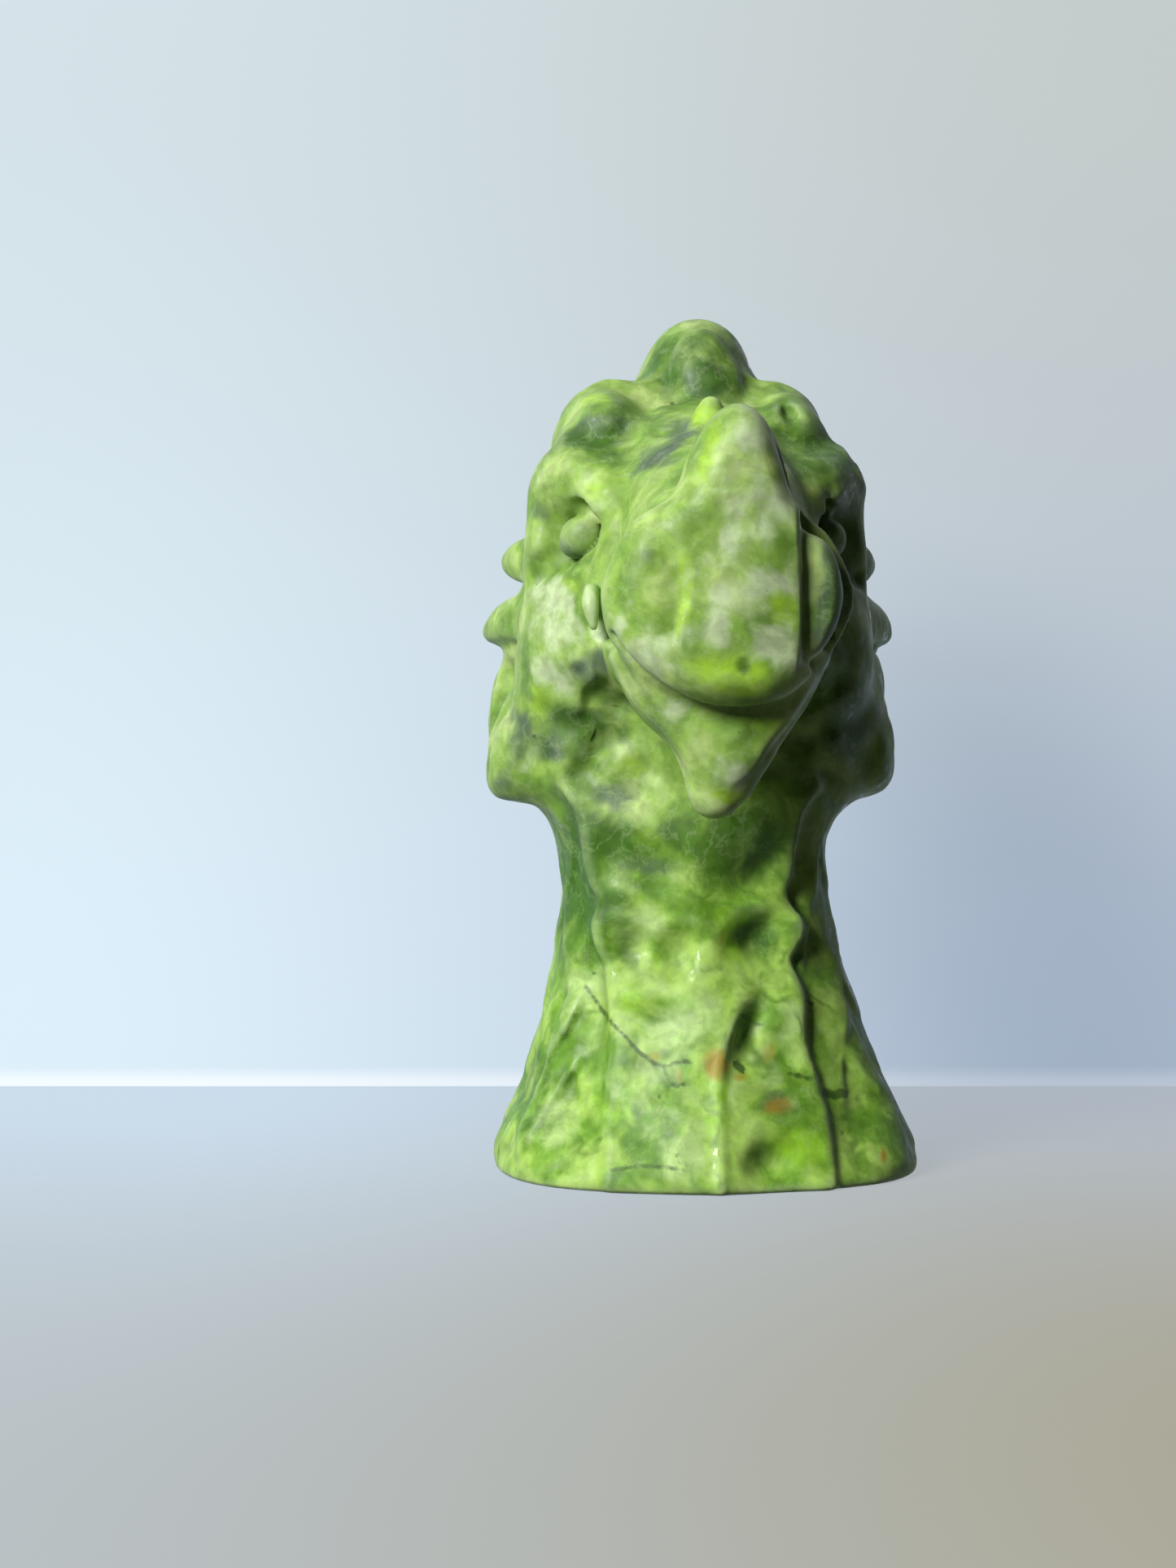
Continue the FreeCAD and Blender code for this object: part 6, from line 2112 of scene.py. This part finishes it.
@dataclass(frozen=True)
class Paper:
    """Matt paper whose shade changes over the picture, seen from the camera at its own brightness: its glow
    is painted light, and on the wall painted shadow, standing in for the lamp's light on it and the
    carving's shadow.

    Attributes:
        name: the material's name.
        across: the places along the first axis where the left and the right shades are full, in metres.
        up: the same along the second axis, for the low and the high shades.
        low_left: the glow at that corner.
        low_right: the same.
        high_left: the same.
        high_right: the same.
        albedo: how much of the lamps' light it returns.
        hem: how much painted light brightens it along its low edge.
        hem_band: how far from that edge the hem ends and is full, in metres.
        hem_right: the hem's share at the right.
    """

    name: str
    across: Flat
    up: Flat
    low_left: Colour
    low_right: Colour
    high_left: Colour
    high_right: Colour
    albedo: float
    hem: float = 0.0
    hem_band: Flat = (0.0036, 0.0004)
    hem_right: float = 0.4

    def material(self) -> bpy.types.Material:
        """Makes the material."""
        shading = Shading(self.name)
        inputs = shading.shader.inputs
        rays = shading.node("ShaderNodeLightPath", {}).outputs
        seen = shading.sums("MAXIMUM", rays["Is Camera Ray"], rays["Is Glossy Ray"])
        seen = shading.sums("MAXIMUM", seen, rays["Is Transmission Ray"])
        # The glow is painted light and shade, seen by camera, glossy and transmission rays.
        shading.feed(inputs["Emission Color"], self.glow(shading))
        shading.feed(inputs["Emission Strength"], seen)
        shading.feed(inputs["Base Color"], (self.albedo,) * 3)
        inputs["Roughness"].default_value = 1.0
        inputs["Specular IOR Level"].default_value = 0.0
        shading.show_front_only()
        return shading.material

    def glow(self, shading: Shading) -> Socket:
        """The painted light and shade that the camera sees."""
        place = shading.node("ShaderNodeSeparateXYZ", {"Vector": shading.place()}).outputs
        right = shading.span(place["X"], *self.across)
        high = shading.span(place["Y"], *self.up)
        low_row = shading.mixed(right, self.low_left, self.low_right)
        high_row = shading.mixed(right, self.high_left, self.high_right)
        hem = shading.span(place["Y"], *self.hem_band, 0.0, self.hem)
        hem = shading.times(hem, shading.span(right, 1.0, 0.0, self.hem_right, 1.0))
        return shading.mixed(hem, shading.mixed(high, low_row, high_row), (1.0, 1.0, 1.0))


@dataclass
class Studio:
    """The floor, the wall behind it, the lamps and the camera."""

    camera_place: Point = (-0.0335, -0.2934, 0.0491)
    camera_turn: float = 3.8  # degrees to the dragon's left of straight on
    focal_length: float = 52.0  # of a lens over a sensor this wide, both in millimetres
    sensor_width: float = 36.0
    nearest_seen: float = 0.01
    wall_distance: float = 0.368  # from the camera, along its view
    board_size: float = 2.4
    # The wall's glow is painted light, brightest at the lower left, with the carving's painted shadow at the
    # lower right; the floor's is painted light, brighter towards the wall and on the left.
    wall: Paper = Paper(
        "wall_paper", (-0.09, 0.09), (0.0, 0.17), (0.58, 0.72, 0.82), (0.36, 0.44, 0.56),
        (0.48, 0.58, 0.63), (0.42, 0.47, 0.47), 0.15, 0.45,
    )
    floor: Paper = Paper(
        "table_paper", (-0.06, 0.06), (0.15, 0.36), (0.41, 0.46, 0.49), (0.335, 0.32, 0.235),
        (0.54, 0.66, 0.78), (0.42, 0.47, 0.53), 0.08,
    )
    key_place: Point = (-0.54, -0.53, 0.47)
    key_aim: Point = (0.0, 0.0, 0.06)
    key_size: float = 0.34
    key_energy: float = 10.6
    sky: Colour = (0.80, 0.88, 1.0)
    sky_strength: float = 0.01

    def build(self) -> None:
        """Sets the stage."""
        self.place_camera()
        self.lay_floor()
        self.hang_key()
        self.light_sky()

    def place_camera(self) -> None:
        """Puts the camera where the photograph was taken from."""
        data = bpy.data.cameras.new("camera")
        data.lens = self.focal_length
        data.sensor_width = self.sensor_width
        data.clip_start = self.nearest_seen
        camera = bpy.data.objects.new("camera", data)
        camera.location = self.camera_place
        camera.rotation_euler = (math.pi / 2.0, 0.0, -math.radians(self.camera_turn))
        bpy.context.scene.collection.objects.link(camera)
        bpy.context.scene.camera = camera

    def board(self, name: str, place: Point, tilt: float, span: Flat, finish: Paper) -> None:
        """Adds a flat part of the stage, square to the camera.

        Args:
            name: its name.
            place: where its own origin lies.
            tilt: degrees that its second axis is turned up from the floor.
            span: its lowest and highest place along that axis.
            finish: its paper.
        """
        half = self.board_size / 2.0
        mesh = bpy.data.meshes.new(name)
        low, high = span
        corners = [(-half, low, 0.0), (half, low, 0.0), (half, high, 0.0), (-half, high, 0.0)]
        mesh.from_pydata(corners, [], [(0, 1, 2, 3)])
        mesh.materials.append(finish.material())
        board = bpy.data.objects.new(name, mesh)
        board.location = place
        board.rotation_euler = (math.radians(tilt), 0.0, -math.radians(self.camera_turn))
        bpy.context.scene.collection.objects.link(board)

    def lay_floor(self) -> None:
        """Adds the table and the wall."""
        turn = math.radians(self.camera_turn)
        x, y, _ = self.camera_place
        wall = self.wall_distance
        self.board("table_top", (x, y, 0.0), 0.0, (-self.board_size / 4.0, wall), self.floor)
        foot = (x + wall * math.sin(turn), y + wall * math.cos(turn), 0.0)
        self.board("back_wall", foot, 90.0, (0.0, self.board_size / 2.0), self.wall)

    def hang_key(self) -> None:
        """Adds the window-like key lamp on the left."""
        data = bpy.data.lights.new("key", "AREA")
        data.shape = "RECTANGLE"
        data.size = data.size_y = self.key_size
        data.energy = self.key_energy
        lamp = bpy.data.objects.new("key", data)
        lamp.location = self.key_place
        aim = Vector(self.key_aim) - lamp.location
        lamp.rotation_euler = aim.to_track_quat("-Z", "Y").to_euler()
        bpy.context.scene.collection.objects.link(lamp)

    def light_sky(self) -> None:
        """Sets the weak light from all round."""
        world = bpy.context.scene.world or bpy.data.worlds.new("world")
        bpy.context.scene.world = world
        world.use_nodes = True
        inputs = world.node_tree.nodes["Background"].inputs
        inputs["Color"].default_value = self.sky + (1.0,)
        inputs["Strength"].default_value = self.sky_strength


def main() -> None:
    """Carves the stone, divides and dresses it, and sets the stage."""
    logging.basicConfig(level=logging.INFO, format="%(relativeCreated)6d %(message)s")
    pitch = PITCH
    skin = finished_skin(carve_stone(pitch))
    LOG.info("skin of %d faces", len(skin.quads))
    pieces = Mason(skin, Tinting(), Serpentine().material()).build()
    LOG.info("%d pieces", len(pieces))
    Studio().build()
    bpy.context.scene.view_settings.view_transform = "Standard"


if __name__ == "__main__":
    main()
